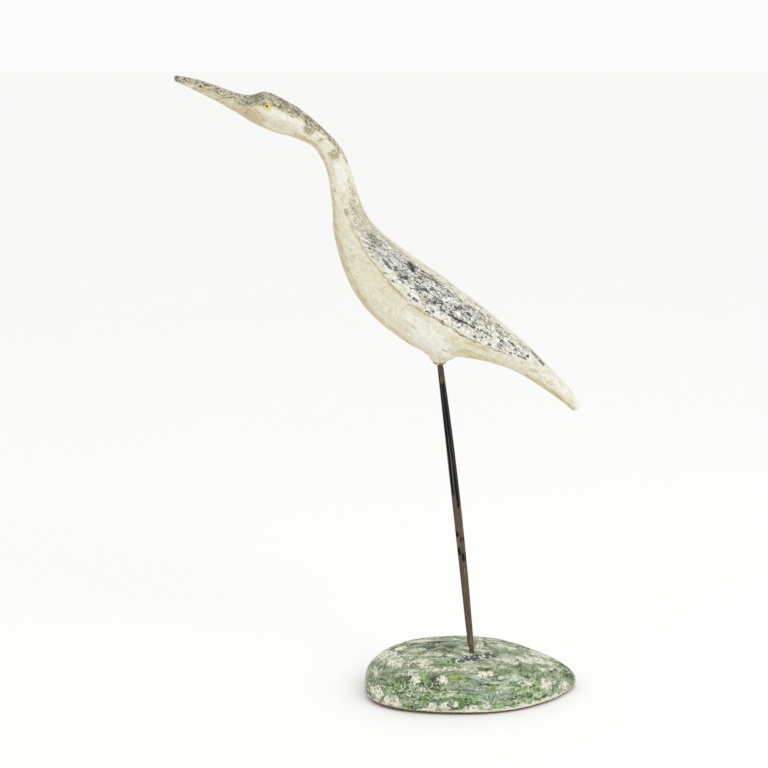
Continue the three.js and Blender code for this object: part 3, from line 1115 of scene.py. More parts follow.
@dataclass(frozen=True)
class GlassEye(Finish):
    """A yellow glass eye with a dark pupil under a clear, glossy face.

    Args:
        side: The side of the head that it is on.
        middle: The middle of the eye.
        gaze: The way that it looks.
    """

    side: Side
    middle: Point
    gaze: Point
    yellow: Colour = srgb(240, 218, 6)
    amber: Colour = srgb(220, 188, 8)
    rim: Colour = srgb(140, 118, 36)
    pupil: Colour = srgb(14, 12, 12)
    pupil_angle: float = math.radians(23)

    @property
    def name(self) -> str:
        """The finish's name, one for each side."""
        return f"yellow_glass_eye_{self.side.name.lower()}"

    def dress(self, bench: Bench, shader: bpy.types.Node, effects: Effects) -> None:
        """Joins pupil, iris and gloss to the shader.

        Args:
            bench: The bench to lay the nodes on.
            shader: The shader that they feed.
            effects: The shared patterns.
        """
        place = bench.place()
        out = bench.vector("NORMALIZE", bench.vector("SUBTRACT", place, self.middle))
        facing = bench.vector("DOT_PRODUCT", out, tuple(Vector(self.gaze).normalized()))
        cloudy = bench.times(bench.sway(place, 1500.0, 4.0), 0.12)
        ring = bench.total(facing, cloudy)
        iris = bench.mix(bench.rise(ring, 0.55, 0.86), self.amber, self.yellow)
        iris = bench.mix(bench.fall(ring, 0.12, 0.3), iris, self.rim)
        edge = math.cos(self.pupil_angle)
        dark = bench.rise(facing, edge - 0.012, edge + 0.012)
        bench.feed(shader.inputs["Base Color"], bench.mix(dark, iris, self.pupil))
        bench.feed(shader.inputs["Roughness"], bench.total(0.2, bench.times(cloudy, 0.6)))
        bench.feed_all(shader, {"Coat Weight": 1.0, "Coat Roughness": 0.03, "IOR": 1.52})


@dataclass(frozen=True)
class StudioFloor(Finish):
    """A plain, pale, matt floor."""

    name = "studio_floor"
    white: Colour = srgb(252, 252, 251)
    shade: Colour = srgb(250, 250, 249)

    def dress(self, bench: Bench, shader: bpy.types.Node, effects: Effects) -> None:
        """Joins the floor's faint unevenness to the shader.

        Args:
            bench: The bench to lay the nodes on.
            shader: The shader that they feed.
            effects: The shared patterns.
        """
        clouds = bench.cloud(bench.place(), 1.2, 2.0)
        bench.feed(shader.inputs["Base Color"], bench.mix(clouds, self.white, self.shade))
        bench.feed_all(shader, {"Roughness": 0.95, "Specular IOR Level": 0.1})


@dataclass(frozen=True)
class Rib:
    """A slice across the bird, in millimetres.

    Args:
        back: The X and Z of its back.
        belly: The X and Z of its belly.
        breadth: Its breadth from side to side.
        wing: How far round the lower edge of the wing lies.
    """

    back: tuple[float, float]
    belly: tuple[float, float]
    breadth: float
    wing: float


RIBS = (
    Rib((-374, 803.5), (-375, 796), 6, 0.5),
    Rib((-345.5, 797.5), (-351.5, 785.5), 9, 0.5),
    Rib((-285, 778.5), (-297.5, 757), 18, 0.5),
    Rib((-263.5, 783.5), (-281, 746), 28, 0.5),
    Rib((-232.5, 769), (-251.5, 733), 34, 0.5),
    Rib((-215.5, 758.5), (-230, 727.5), 30, 0.5),
    Rib((-185, 731), (-205, 716), 24, 0.5),
    Rib((-172.5, 717.5), (-195.5, 703), 24, 0.5),
    Rib((-161, 695.5), (-187.5, 685.5), 24, 0.5),
    Rib((-143.5, 643.5), (-181, 638), 32, 0.515),
    Rib((-128.5, 617), (-180, 611.5), 40, 0.512),
    Rib((-78, 576.5), (-166, 556.5), 67, 0.501),
    Rib((-47.5, 556), (-141.5, 513.5), 81, 0.492),
    Rib((-17.5, 533.5), (-106.5, 481), 87, 0.478),
    Rib((11.5, 511.5), (-66.5, 456), 86, 0.463),
    Rib((39.5, 487.5), (-18, 449), 78, 0.488),
    Rib((65.5, 464.5), (22, 441), 64, 0.466),
    Rib((90.5, 440), (59, 426.5), 48, 0.48),
    Rib((127, 400.5), (111, 391.5), 26, 0.5),
    Rib((135.5, 384.5), (126, 379), 16, 0.5),
)


def curve_through(points: np.ndarray, along: np.ndarray) -> np.ndarray:
    """Smooth curve through points, with knots spaced by the root of their distance.

    Args:
        points: The points that it passes, one a row.
        along: Places on it, where a whole number is a point.

    Returns:
        The curve's points, one a row.
    """
    padded = np.vstack([2 * points[0] - points[1], points, 2 * points[-1] - points[-2]])
    first = np.clip(np.floor(along).astype(int), 0, len(points) - 2)
    p0, p1, p2, p3 = (padded[first + k] for k in range(4))
    d0, d1, d2 = (
        np.sqrt(np.linalg.norm(b - a, axis=1))[:, None] for a, b in ((p0, p1), (p1, p2), (p2, p3)))
    leave = ((p1 - p0) / d0 - (p2 - p0) / (d0 + d1) + (p2 - p1) / d1) * d1
    arrive = ((p2 - p1) / d1 - (p3 - p1) / (d1 + d2) + (p3 - p2) / d2) * d1
    t = (along - first)[:, None]
    bend = -3 * p1 + 3 * p2 - 2 * leave - arrive
    return p1 + t * leave + t**2 * bend + t**3 * (2 * p1 - 2 * p2 + leave + arrive)


@dataclass
class Places:
    """Where the points of the bird's skin lie on the bird.

    Args:
        rib: The rib of each point.
        round: How far round each point lies, from the back to the belly.
        edge: How far round the wing's edge lies at that rib.
        girth: Half the way round the bird at that rib, in metres.
        arc: How far along the bird each point lies, in metres.
        rise: How far the wing stands proud at that rib, from 0 to 1.
    """

    rib: np.ndarray
    round: np.ndarray
    edge: np.ndarray
    girth: np.ndarray
    arc: np.ndarray
    rise: np.ndarray


class Spine:
    """The run of the ribs, which tells where a point of the bird lies."""

    STEPS = 12
    CHUNK = 8000
    POWER = 1.1
    NECK_ROOT = 10
    TAIL_MIDDLE = 17
    FADE = 1.1
    SCALLOP_DEPTH = 0.016
    SCALLOPS_PER_RIB = 0.8

    def __init__(self, ribs: Sequence[Rib]) -> None:
        """Draws the curves of back, belly and breadth."""
        self.last = len(ribs) - 1
        self.along = np.linspace(0, self.last, self.last * self.STEPS + 1)
        back = np.array([rib.back for rib in ribs]) * MM
        belly = np.array([rib.belly for rib in ribs]) * MM
        half = np.array([rib.breadth / 2 for rib in ribs]) * MM
        middle = np.column_stack([(back + belly) / 2, half])
        self.back = curve_through(back, self.along)
        self.reach = curve_through(belly, self.along) - self.back
        swept = curve_through(middle, self.along)
        self.half = swept[:, 2]
        steps = np.linalg.norm(np.diff(swept[:, :2], axis=0), axis=1)
        self.arc = np.concatenate([[0.0], np.cumsum(steps)])
        self.wing = np.interp(self.along, range(len(ribs)), [rib.wing for rib in ribs])

    def rise(self, rib: np.ndarray) -> np.ndarray:
        """How far the wing stands proud of the body at a rib, from 0 to 1."""
        front = smoothstep(rib, self.NECK_ROOT - self.FADE, self.NECK_ROOT + self.FADE)
        rear = smoothstep(rib, self.TAIL_MIDDLE - self.FADE, self.TAIL_MIDDLE + self.FADE)
        return front * (1 - rear)

    def places(self, points: np.ndarray) -> Places:
        """Finds where points lie.

        Args:
            points: The points, one a row.

        Returns:
            Their places.
        """
        found = [self._find(points[i:i + self.CHUNK]) for i in range(0, len(points), self.CHUNK)]
        rib, share = (np.concatenate(parts) for parts in zip(*found))
        half = np.interp(rib, self.along, self.half)
        tall = np.interp(rib, self.along, np.linalg.norm(self.reach, axis=1)) / 2
        up = 1 - 2 * share
        out = np.abs(points[:, 1]) / half
        round_ = np.arctan2(out**self.POWER, np.sign(up) * np.abs(up)**self.POWER) / math.pi
        rise = self.rise(rib)
        waves = np.abs(np.sin(math.pi * self.SCALLOPS_PER_RIB * rib)) - 0.5
        edge = np.interp(rib, self.along, self.wing) + self.SCALLOP_DEPTH * waves * rise
        girth = math.pi * np.sqrt((half**2 + tall**2) / 2)
        arc = np.interp(rib, self.along, self.arc)
        return Places(rib, round_, edge, girth, arc, rise)

    def _find(self, points: np.ndarray) -> tuple[np.ndarray, np.ndarray]:
        """The rib of each point, and its share of the way from back to belly."""
        flat = points[:, None, [0, 2]] - self.back[None]
        length = np.linalg.norm(self.reach, axis=1)
        share = (flat * self.reach).sum(2) / length**2
        ahead = (self.reach[:, 0] * flat[:, :, 1] - self.reach[:, 1] * flat[:, :, 0]) / length
        beyond = np.clip(np.abs(share - 0.5) - 0.5, 0, None) * length
        near = np.hypot(ahead, beyond).argmin(1)
        rows = np.arange(len(points))
        here = ahead[rows, near]
        other = np.clip(near + np.where(here > 0, 1, -1), 0, len(self.along) - 1)
        gap = here - ahead[rows, other]
        part = np.clip(np.where(np.abs(gap) > 1e-9, here / np.where(gap == 0, 1, gap), 0), 0, 1)
        rib = self.along[near] + part * (self.along[other] - self.along[near])
        shares = share[rows, near] + part * (share[rows, other] - share[rows, near])
        return rib, np.clip(shares, 0, 1)


@dataclass(frozen=True)
class Band:
    """A band of paint along the bird, between two lines that run from rib to rib.

    Args:
        ribs: The ribs at which the lines are told.
        upper: How far round the upper line lies at each, or at all of them.
        lower: How far round the lower line lies at each, or at all of them.
        weight: How strong the band is at each.
        soft: Half the width over which its lines fade.
    """

    ribs: tuple[float, ...]
    upper: float | tuple[float, ...]
    lower: float | tuple[float, ...]
    weight: tuple[float, ...]
    soft: float = 0.06

    def over(self, rib: np.ndarray, round_: np.ndarray) -> np.ndarray:
        """How strong the band is at each place."""
        upper, lower = (
            np.interp(rib, self.ribs, np.broadcast_to(line, len(self.ribs)))
            for line in (self.upper, self.lower))
        weight = np.interp(rib, self.ribs, self.weight, left=0, right=0)
        below = smoothstep(round_, upper - self.soft, upper + self.soft)
        above = 1 - smoothstep(round_, lower - self.soft, lower + self.soft)
        return weight * below * above


@dataclass(frozen=True)
class Patch:
    """A rounded patch of paint on the bird, which fades from its middle to 0 at its rim.

    Args:
        rib: The rib of its middle.
        round: How far round its middle lies.
        length: Half its length, in ribs.
        width: Half its width, in half turns.
        weight: How strong it is.
        slant: How far round it shifts from its middle to its rear end.
    """

    rib: float
    round: float
    length: float
    width: float
    weight: float = 1.0
    slant: float = 0.0

    CORE = 0.5
    RIM = 1.1
    SQUARENESS = 4

    def over(self, rib: np.ndarray, round_: np.ndarray) -> np.ndarray:
        """How strong the patch is at each place."""
        along = (rib - self.rib) / self.length
        down = (round_ - self.round - self.slant * along) / self.width
        reach = (along**self.SQUARENESS + down**self.SQUARENESS) ** (1 / self.SQUARENESS)
        return self.weight * (1 - smoothstep(reach, self.CORE, self.RIM))


@dataclass(frozen=True)
class Stroke:
    """A single dark stroke of the brush.

    Args:
        start: The rib where it starts, and how far round that lies.
        end: The same of its end.
        half: Half its width, in millimetres.
    """

    start: tuple[float, float]
    end: tuple[float, float]
    half: float

    def away(self, places: Places, spine: Spine) -> np.ndarray:
        """How far each point lies outside the stroke, in metres."""
        first, last = np.interp([self.start[0], self.end[0]], spine.along, spine.arc)
        share = np.clip((places.arc - first) / max(last - first, 0.1 * MM), 0, 1)
        ahead = places.arc - (first + share * (last - first))
        line = self.start[1] + share * (self.end[1] - self.start[1])
        return np.hypot(ahead, places.girth * (places.round - line)) - self.half * MM


def strongest(zones: Sequence[Band | Patch], rib: np.ndarray, round_: np.ndarray) -> np.ndarray:
    """The strongest of several bands and patches at each place."""
    return np.max([zone.over(rib, round_) for zone in zones], axis=0)


@dataclass
class Rods:
    """The two iron rods, of which the left one is bowed.

    Args:
        diameter: How thick a rod is.
        spacing: How far apart the rods stand.
        top: The X and Z where a rod leaves the bird.
        foot: The X and Z where it enters the mound.
        in_bird: How far it goes into the bird.
        in_mound: How far it goes into the mound.
        bow: How far the left rod bends backward at its middle.
        sides: How many sides its round has.
        cuts: How many rings of points lie along it.
        near_steps: Into how many points a rod is cut to find the nearer one.
        finish: Its finish.
    """

    diameter: float = 6.35 * MM
    spacing: float = 26 * MM
    top: tuple[float, float] = (-44.6 * MM, 438 * MM)
    foot: tuple[float, float] = (-0.8 * MM, 51 * MM)
    in_bird: float = 25 * MM
    in_mound: float = 20 * MM
    bow: float = 4.4 * MM
    sides: int = 28
    cuts: int = 210
    near_steps: int = 400
    finish: RustyIron = RustyIron()

    def path(self, side: Side, share: np.ndarray) -> np.ndarray:
        """The middle line of a rod.

        Args:
            side: Which rod.
            share: Places along it, from 0 at its hidden top to 1 at its hidden foot.

        Returns:
            The points, one a row.
        """
        y = side.value * self.spacing / 2
        top = np.array([self.top[0], y, self.top[1]])
        foot = np.array([self.foot[0], y, self.foot[1]])
        down = (foot - top) / np.linalg.norm(foot - top)
        top, foot = top - down * self.in_bird, foot + down * self.in_mound
        bow = self.bow if side is Side.LEFT else 0.0
        share = np.asarray(share, float)[:, None]
        straight = top + share * (foot - top)
        return straight + np.array([4 * bow, 0, 0]) * share * (1 - share)

    def nearest(self, point: Vector) -> float:
        """How far a point lies from the middle line of the nearer rod."""
        share = np.linspace(0, 1, self.near_steps)
        lines = np.vstack([self.path(side, share) for side in Side])
        return float(np.linalg.norm(lines - np.array(point), axis=1).min())

    def build(self, effects: Effects) -> list[bpy.types.Object]:
        """Makes both rods and dresses them.

        Args:
            effects: The shared patterns.

        Returns:
            The pieces.
        """
        material = self.finish.material(effects)
        pieces = []
        for side in Side:
            piece = self._rod(side)
            piece.data.materials.append(material)
            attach(piece, "root")
            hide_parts(f"leg_{side.name.lower()}")
            pieces.append(piece)
        return pieces

    def _rod(self, side: Side) -> bpy.types.Object:
        """One rod: a bar cut into short lengths, bent along its line and pitted with rust."""
        ends = self.path(side, np.array([0.0, 1.0]))
        length = float(np.linalg.norm(ends[1] - ends[0]))
        bpy.ops.object.select_all(action="DESELECT")
        bpy.ops.mesh.primitive_cylinder_add(vertices=self.sides, radius=self.diameter / 2, depth=length)
        piece = bpy.context.active_object
        piece.name = piece.data.name = f"rod_{side.name.lower()}"
        heights = [vertex.co.z for vertex in piece.data.vertices]
        pick(piece, Part.EDGE, lambda edge: heights[edge.vertices[0]] != heights[edge.vertices[1]])
        with editing(None):
            bpy.ops.mesh.subdivide(number_cuts=self.cuts)
        self._bend(piece, side, length)
        select_only(piece)
        bpy.ops.object.shade_smooth_by_angle(angle=math.radians(50))
        return piece

    def _bend(self, piece: bpy.types.Object, side: Side, length: float) -> None:
        """Lays the straight bar along the rod's line, then dents and pits it."""
        skin = Skin(piece)
        local = skin.points.copy()
        share = 0.5 - local[:, 2] / length
        step = 0.001
        middle = self.path(side, share)
        ahead = self.path(side, share + step) - self.path(side, share - step)
        along = ahead / np.linalg.norm(ahead, axis=1)[:, None]
        sideways = np.array([0.0, 1.0, 0.0])
        across = np.cross(np.broadcast_to(sideways, along.shape), along)
        across /= np.linalg.norm(across, axis=1)[:, None]
        outward = local[:, :1] * across + local[:, 1:2] * sideways
        skin.points = middle + outward
        radius = np.linalg.norm(outward, axis=1)
        skin.normals = outward / np.maximum(radius, 1e-6)[:, None]
        dents = Grain(0.1, 7, 11 + side.value, stretch=(1, 1, 0.25))
        pits = Grain(0.07, 1.6, 16 + side.value)
        on_skin = radius > self.diameter / 4
        skin.push(np.where(on_skin, dents.over(skin.points) + pits.over(skin.points), 0))
        skin.note("flank", local[:, 0] / (self.diameter / 2))


@dataclass(frozen=True)
class ThighFoot:
    """The foot of a thigh, which is drawn up and spread forward round its rod.

    Args:
        height: How high it lies.
        roots: How high the shaping reaches, before the rod and behind it.
        fade: Between which distances from the rod it ends.
        spread: How far the foot is spread, before the rod, behind it and at the sides, as shares of the
            distance from the rod.
        lift: How far the foot is lifted, each after how far behind the rod that is.
        collar: Between which heights the bare wood at the foot ends.
        collar_fade: Between which distances from the rod it ends.
    """

    height: float = 437 * MM
    roots: tuple[float, float] = (463 * MM, 456 * MM)
    fade: tuple[float, float] = (12 * MM, 22 * MM)
    spread: Point = (0.55, -0.3, -0.38)
    lift: tuple[tuple[float, float], ...] = ((-14 * MM, -2.6 * MM), (-4 * MM, 1.6 * MM), (0.0, 3.4 * MM))
    collar: tuple[float, float] = (441.5 * MM, 448 * MM)
    collar_fade: tuple[float, float] = (9 * MM, 14 * MM)

    def shift(self, points: np.ndarray, rods: Rods, side: Side) -> np.ndarray:
        """How far each point moves.

        Args:
            points: The points, one a row.
            rods: The rods.
            side: Which thigh.

        Returns:
            The moves, one a row.
        """
        x, y, z = points.T
        (top_x, top_z), (foot_x, foot_z) = rods.top, rods.foot
        behind = x - top_x - (z - top_z) * (foot_x - top_x) / (foot_z - top_z)
        across = y - side.value * rods.spacing / 2
        before, after, sideways = self.spread
        along = np.where(behind > 0, after, before) * behind
        lift = np.interp(behind, *zip(*self.lift))
        root = np.where(behind > 0, self.roots[1], self.roots[0])
        share = 1 - smoothstep((z - self.height) / (root - self.height), 0.0, 1.0)
        near = 1 - smoothstep(np.hypot(behind, across), *self.fade)
        return np.column_stack([along, sideways * across, lift]) * (near * share)[:, None]

    def bare(self, points: np.ndarray, rods: Rods) -> np.ndarray:
        """How bare of paint each point is."""
        x, y, z = points.T
        away = np.hypot(x - rods.top[0], np.abs(y) - rods.spacing / 2)
        return (1 - smoothstep(away, *self.collar_fade)) * (1 - smoothstep(z, *self.collar))


@dataclass
class Eyes:
    """The two glass eyes, set into the head.

    Args:
        gaze: The way that the left eye looks.
        dome: How far the clear face bulges beyond the ball, as a share of its radius.
        sunk: How far the rest of the ball is sunk in, as a share of its radius.
        face: From where the face bulges, as the cosine of the angle to the gaze.
        segments: How many sides the ball has.
        rings: How many rings it has.
        slot: The slot of its material, which is not used.
    """

    gaze: Point = (-0.17, -0.96, 0.24)
    dome: float = 0.06
    sunk: float = 0.01
    face: float = 0.5
    segments: int = 48
    rings: int = 32
    slot: str = "yellow_glass"

    def middle(self, side: Side) -> Vector:
        """The middle of an eye."""
        low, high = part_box(f"eye_{side.name.lower()}")
        return (low + high) / 2

    def radius(self) -> float:
        """The radius of an eye."""
        low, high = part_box("eye_left")
        return (high.z - low.z) / 2

    def build(self, effects: Effects) -> list[bpy.types.Object]:
        """Makes both eyes and dresses them.

        Args:
            effects: The shared patterns.

        Returns:
            The pieces.
        """
        pieces = []
        for side in Side:
            middle = self.middle(side)
            gaze = Vector((self.gaze[0], -side.value * self.gaze[1], self.gaze[2])).normalized()
            piece = self._eye(side, middle, gaze)
            finish = GlassEye(side, tuple(middle), tuple(gaze))
            piece.data.materials.append(finish.material(effects))
            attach(piece, "root")
            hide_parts(f"eye_{side.name.lower()}")
            pieces.append(piece)
        return pieces

    def _eye(self, side: Side, middle: Vector, gaze: Vector) -> bpy.types.Object:
        """One eye: a ball with a clear face that bulges where it looks out."""
        bpy.ops.object.select_all(action="DESELECT")
        bpy.ops.mesh.primitive_uv_sphere_add(segments=self.segments, ring_count=self.rings,
                                             radius=self.radius())
        piece = bpy.context.active_object
        piece.name = piece.data.name = f"glass_eye_{side.name.lower()}"
        skin = Skin(piece)
        out = skin.points / np.linalg.norm(skin.points, axis=1)[:, None]
        skin.points = skin.points + np.array(middle)
        skin.normals = out
        bulge = smoothstep(out @ np.array(gaze), self.face, 1.0)
        skin.push(self.radius() * (self.dome * bulge - self.sunk))
        bpy.ops.object.shade_smooth()
        return piece


@dataclass
class Bird:
    """The carved bird, in one piece from bill to tail, with its two short thighs.

    Args:
        rods: The rods that it stands on.
        eyes: The eyes that are set into it.
        voxel: The size of its mesh's faces.
        socket: How far from the middle of an eye its socket reaches.
        hole: How far from the middle of a rod its hole reaches.
        foot: The foot of each thigh.
        unlike: How many ribs the paint of the right side is shifted, on the neck and the wing.
        slot: The slot of its material, which is not used.
        finish: Its finish.
    """

    rods: Rods
    eyes: Eyes
    voxel: float = 1.28 * MM
    socket: float = 4.6 * MM
    hole: float = 3.72 * MM
    foot: ThighFoot = ThighFoot()
    unlike: tuple[float, float] = (0.12, 0.45)
    slot: str = "painted_wood"
    finish: BirdPaint = BirdPaint()

    crown = (
        Band((0, 0.35, 1, 2, 2.5, 3.0, 3.35, 4, 4.8, 5.4, 6.1, 7, 7.7, 8.3), -1,
             (0.95, 0.58, 0.5, 0.49, 0.52, 0.48, 0.37, 0.37, 0.35, 0.35, 0.33, 0.31, 0.26, 0.2),
             (1.1, 1.3, 1.35, 1.35, 1.3, 1.2, 1.1, 1.1, 1.1, 1.1, 1.0, 0.75, 0.35, 0.0)),
        Patch(5.42, 0.43, 0.22, 0.15, 0.35),
    )
    brown = (
        Patch(2.6, 0.2, 0.6, 0.36, 1.2),
        Patch(2.65, 0.62, 0.35, 0.22, 0.4),
        Patch(5.65, 0.05, 0.75, 0.3, 0.95),
        Patch(4.1, 0.2, 0.8, 0.16, 0.65),
        Patch(6.9, 0.1, 0.6, 0.2, 0.45),
        Patch(1.2, 0.0, 1.0, 0.15, 0.4),
    )
    grey = (
        Band((7.6, 8.3, 9.0, 10.4, 11.5), 0.13, (0.4, 0.38, 0.36, 0.33, 0.25),
             (0.2, 0.45, 0.5, 0.45, 0.2)),
        Band((10.4, 12, 15, 17.5), -1, (0.17, 0.17, 0.16, 0.18), (0.5, 0.75, 0.75, 0.4)),
        Band((13, 14, 15.5, 16.5), 0.1, 0.3, (0.1, 0.75, 0.75, 0.3)),
        Band((3.3, 4.2, 5.0), 0.52, 0.76, (0.4, 0.7, 0.5)),
    )
    # The tan bands under the chin, neck, belly and tail are stained paint and also painted shade, warm and
    # darker where the light falls off.
    tan = (
        Band((0.15, 1, 2, 2.6), (0.4, 0.42, 0.42, 0.44), 0.94, (0.7, 0.7, 0.75, 0.85)),
        Band((2.1, 2.5, 2.9, 3.4, 4.3), (0.45, 0.48, 0.52, 0.6, 0.7), 0.94,
             (0.9, 1.9, 1.7, 0.8, 0.2)),
        Band((3.5, 3.8, 4.8, 5.1), 0.378, 0.398, (0.0, 0.9, 0.9, 0.0), 0.01),
        Band((3.1, 4.0, 5.0), (0.8, 0.8, 0.74), 2, (0.6, 0.65, 0.75)),
        Band((5, 5.5, 6.1, 7, 8, 9, 10, 11, 12.5, 14, 14.7),
             (0.66, 0.64, 0.64, 0.69, 0.74, 0.75, 0.75, 0.77, 0.8, 0.83, 0.88), 2,
             (0.75, 1.0, 1.0, 0.9, 0.9, 0.9, 0.9, 0.9, 0.85, 0.9, 0.4)),
        Patch(5.42, 0.43, 0.22, 0.15),
        Patch(5.98, 0.48, 0.12, 0.1),
        Patch(7.3, 0.43, 0.34, 0.15, 1.1),
        Patch(9.18, 0.53, 0.22, 0.05, 0.7),
        Patch(13.7, 0.8, 0.8, 0.13, 0.4),
        Patch(14.6, 0.78, 0.07, 0.09, 0.9),
        Band((15, 15.8, 16.6, 17.3, 17.8, 18.6, 19), (0.66, 0.64, 0.7, 0.62, 0.6, 0.6, 0.6), 2,
             (0.6, 0.6, 0.4, 0.85, 1.0, 0.9, 0.7)),
    )
    olive = (
        Patch(14.8, 0.67, 0.26, 0.06),
        Band((13.6, 14.2, 15.2, 16), (0.49, 0.5, 0.51, 0.5), (0.535, 0.55, 0.555, 0.53),
             (0.0, 0.9, 0.9, 0.0), 0.015),
        Band((14.9, 15.1, 15.5, 15.8), (0.63, 0.64, 0.67, 0.68), (0.9, 0.9, 0.84, 0.82),
             (0.0, 0.8, 1.0, 0.0), 0.03),
        Patch(5.5, 0.75, 0.3, 0.12, 0.45),
        Band((15.3, 16.5, 18, 19), (0.78, 0.76, 0.7, 0.7), 2, (0.0, 0.8, 1.0, 0.8)),
        Patch(4.2, 0.85, 0.8, 0.12, 0.5),
        Patch(11.0, 0.85, 1.4, 0.16, 0.45),
    )
    light = (
        Patch(1.46, 0.12, 0.07, 0.1, 0.7),
        Patch(1.75, 0.53, 0.1, 0.04, 0.9),
        Patch(2.35, 0.51, 0.14, 0.06, 0.9),
        Band((3.4, 3.6, 4.5, 5.0, 5.3), 0.405, 0.5, (0.0, 1.1, 1.1, 1.0, 0.0), 0.015),
        Patch(5.85, 0.38, 0.17, 0.055, 1.1),
        Patch(6.3, 0.42, 0.17, 0.05, 1.1),
        Patch(8.15, 0.47, 0.52, 0.16, 1.1),
        Band((8.2, 8.6, 9.4, 9.8), -1, 0.12, (0.0, 0.8, 0.8, 0.0), 0.04),
        Patch(9.35, 0.43, 0.25, 0.05, 0.8),
        Patch(13.2, 0.585, 0.9, 0.07, 0.8),
        Patch(14.2, 0.685, 0.62, 0.05, 0.8, 0.165),
        # This patch whitens the thigh: paler paint and also painted light on its lit bulge.
        Patch(13.7, 0.68, 0.75, 0.12, 0.85),
        Band((16.6, 17.3, 18.5, 19), 0.1, 0.5, (0.0, 0.8, 0.8, 0.8)),
        Band((10.2, 11, 15, 17), -1, 0.16, (0.3, 0.6, 0.65, 0.3), 0.04),
        Band((10.6, 12, 14, 16.4), 0.42, 0.5, (0.5, 1.0, 1.0, 0.6), 0.015),
    )
    chips = (
        Patch(16.5, 0.44, 0.2, 0.1, 0.7),
        Patch(16.95, 0.48, 0.16, 0.09, 0.65),
        Patch(17.45, 0.46, 0.12, 0.07, 0.75),
        Patch(15.9, 0.32, 0.3, 0.08, 0.45),
        Patch(10.62, 0.66, 0.05, 0.03, 0.8),
        Patch(15.25, 0.78, 0.06, 0.04, 0.6),
    )
    cracked = (
        Band((0, 2, 3, 4, 6, 8, 9), -1, (0.8, 0.6, 0.5, 0.4, 0.4, 0.4, 0.35),
             (0.5, 0.5, 0.6, 0.45, 0.5, 0.2, 0.1)),
        Patch(2.65, 0.6, 0.5, 0.25, 0.5),
        Patch(5.42, 0.43, 0.24, 0.16, 1.2),
        Patch(5.98, 0.48, 0.14, 0.11, 0.8),
        Patch(7.3, 0.43, 0.36, 0.17, 1.5),
        Patch(9.2, 0.52, 0.25, 0.06, 0.9),
        Band((7.8, 8.6, 9.4, 10.6, 11.4), 0.1, (0.36, 0.42, 0.5, 0.5, 0.45), (0.2, 0.45, 1.1, 1.0, 0.5)),
        Band((10.5, 12, 16, 18.5), -1, (0.46, 0.46, 0.45, 0.45), (0.35, 0.4, 0.4, 0.3)),
        Band((6, 10, 16, 19), (0.5, 0.6, 0.5, -1), 2, (0.15, 0.2, 0.15, 0.2)),
    )
    dark = (
        Patch(10.3, 0.34, 0.15, 0.055, 1.5),
        Band((10.2, 10.5, 11.1), 0.25, 0.47, (0.2, 0.4, 0.5), 0.04),
        Patch(11.25, 0.25, 0.3, 0.065, 1.4),
        Patch(11.15, 0.395, 0.11, 0.04, 1.2),
        Patch(10.9, 0.42, 0.09, 0.03, 1.2),
        Patch(11.55, 0.4, 0.1, 0.03, 1.3),
        Patch(12.17, 0.37, 0.22, 0.05, 1.15),
        Patch(13.2, 0.315, 0.36, 0.03, 0.95),
        Band((11.5, 11.7, 12.4, 13.2, 13.6), (0.17, 0.17, 0.17, 0.2, 0.22), (0.26, 0.26, 0.27, 0.265, 0.24),
             (0.3, 0.95, 0.95, 0.8, 0.0), 0.03),
        Band((12.3, 12.6, 13.4, 13.8, 13.95), (0.35, 0.35, 0.36, 0.365, 0.37),
             (0.41, 0.41, 0.405, 0.4, 0.395), (0.3, 0.9, 1.1, 1.4, 0.0), 0.015),
        Band((10.4, 11, 13.6, 14.2, 15, 16.4), 0.18, (0.42, 0.43, 0.42, 0.42, 0.42, 0.42),
             (0.28, 0.62, 0.78, 0.3, 0.24, 0.12), 0.04),
        Band((13.4, 14, 15, 16.2), 0.15, 0.27, (0.5, 0.28, 0.26, 0.14), 0.03),
        Band((10.4, 12, 14, 16), 0.4, 0.49, (0.1, 0.22, 0.22, 0.1), 0.02),
        Patch(16.45, 0.14, 0.25, 0.07, 1.1),
        Patch(16.85, 0.17, 0.16, 0.07, 1.2),
        Patch(15.9, 0.2, 0.3, 0.06, 0.6),
        Band((11, 13, 15, 17), 0.07, 0.2, (0.08, 0.13, 0.13, 0.08), 0.04),
    )
    moss = (
        Patch(10.3, 0.34, 0.24, 0.09),
        Patch(14.9, 0.18, 0.16, 0.05),
        Patch(16.6, 0.1, 0.6, 0.16, 0.8),
        Band((11.5, 12, 13.4, 14, 16), 0.14, 0.28, (0.2, 0.45, 0.5, 0.9, 0.9)),
    )
    strokes = (
        Stroke((13.8, 0.378), (14.45, 0.362), 1.0),
        Stroke((13.4, 0.391), (13.8, 0.38), 1.2),
        Stroke((13.0, 0.4), (13.5, 0.392), 0.8),
        Stroke((14.6, 0.362), (14.85, 0.362), 0.8),
        Stroke((14.34, 0.285), (14.37, 0.285), 0.9),
        Stroke((15.03, 0.33), (15.22, 0.335), 1.0),
        Stroke((15.2, 0.385), (15.42, 0.42), 1.0),
        Stroke((15.0, 0.455), (15.12, 0.47), 1.0),
        Stroke((15.3, 0.445), (15.42, 0.45), 0.8),
        Stroke((15.4, 0.285), (15.58, 0.295), 1.4),
        Stroke((15.9, 0.412), (16.12, 0.412), 0.7),
        Stroke((16.29, 0.292), (16.32, 0.292), 1.1),
        Stroke((11.1, 0.225), (11.45, 0.29), 2.2),
        Stroke((11.5, 0.295), (11.95, 0.295), 0.7),
        Stroke((0.72, 0.5), (0.8, 0.5), -0.1),
        Stroke((1.05, 0.5), (1.15, 0.5), 0.0),
        Stroke((1.43, 0.43), (1.49, 0.47), 0.4),
    )
    line_ribs: tuple[float, ...] = (9.0, 9.6, 10.2, 10.7, 11, 11.5, 12, 12.5, 13.05, 13.2, 13.9, 14.3,
                                    14.6, 15, 15.5, 16)
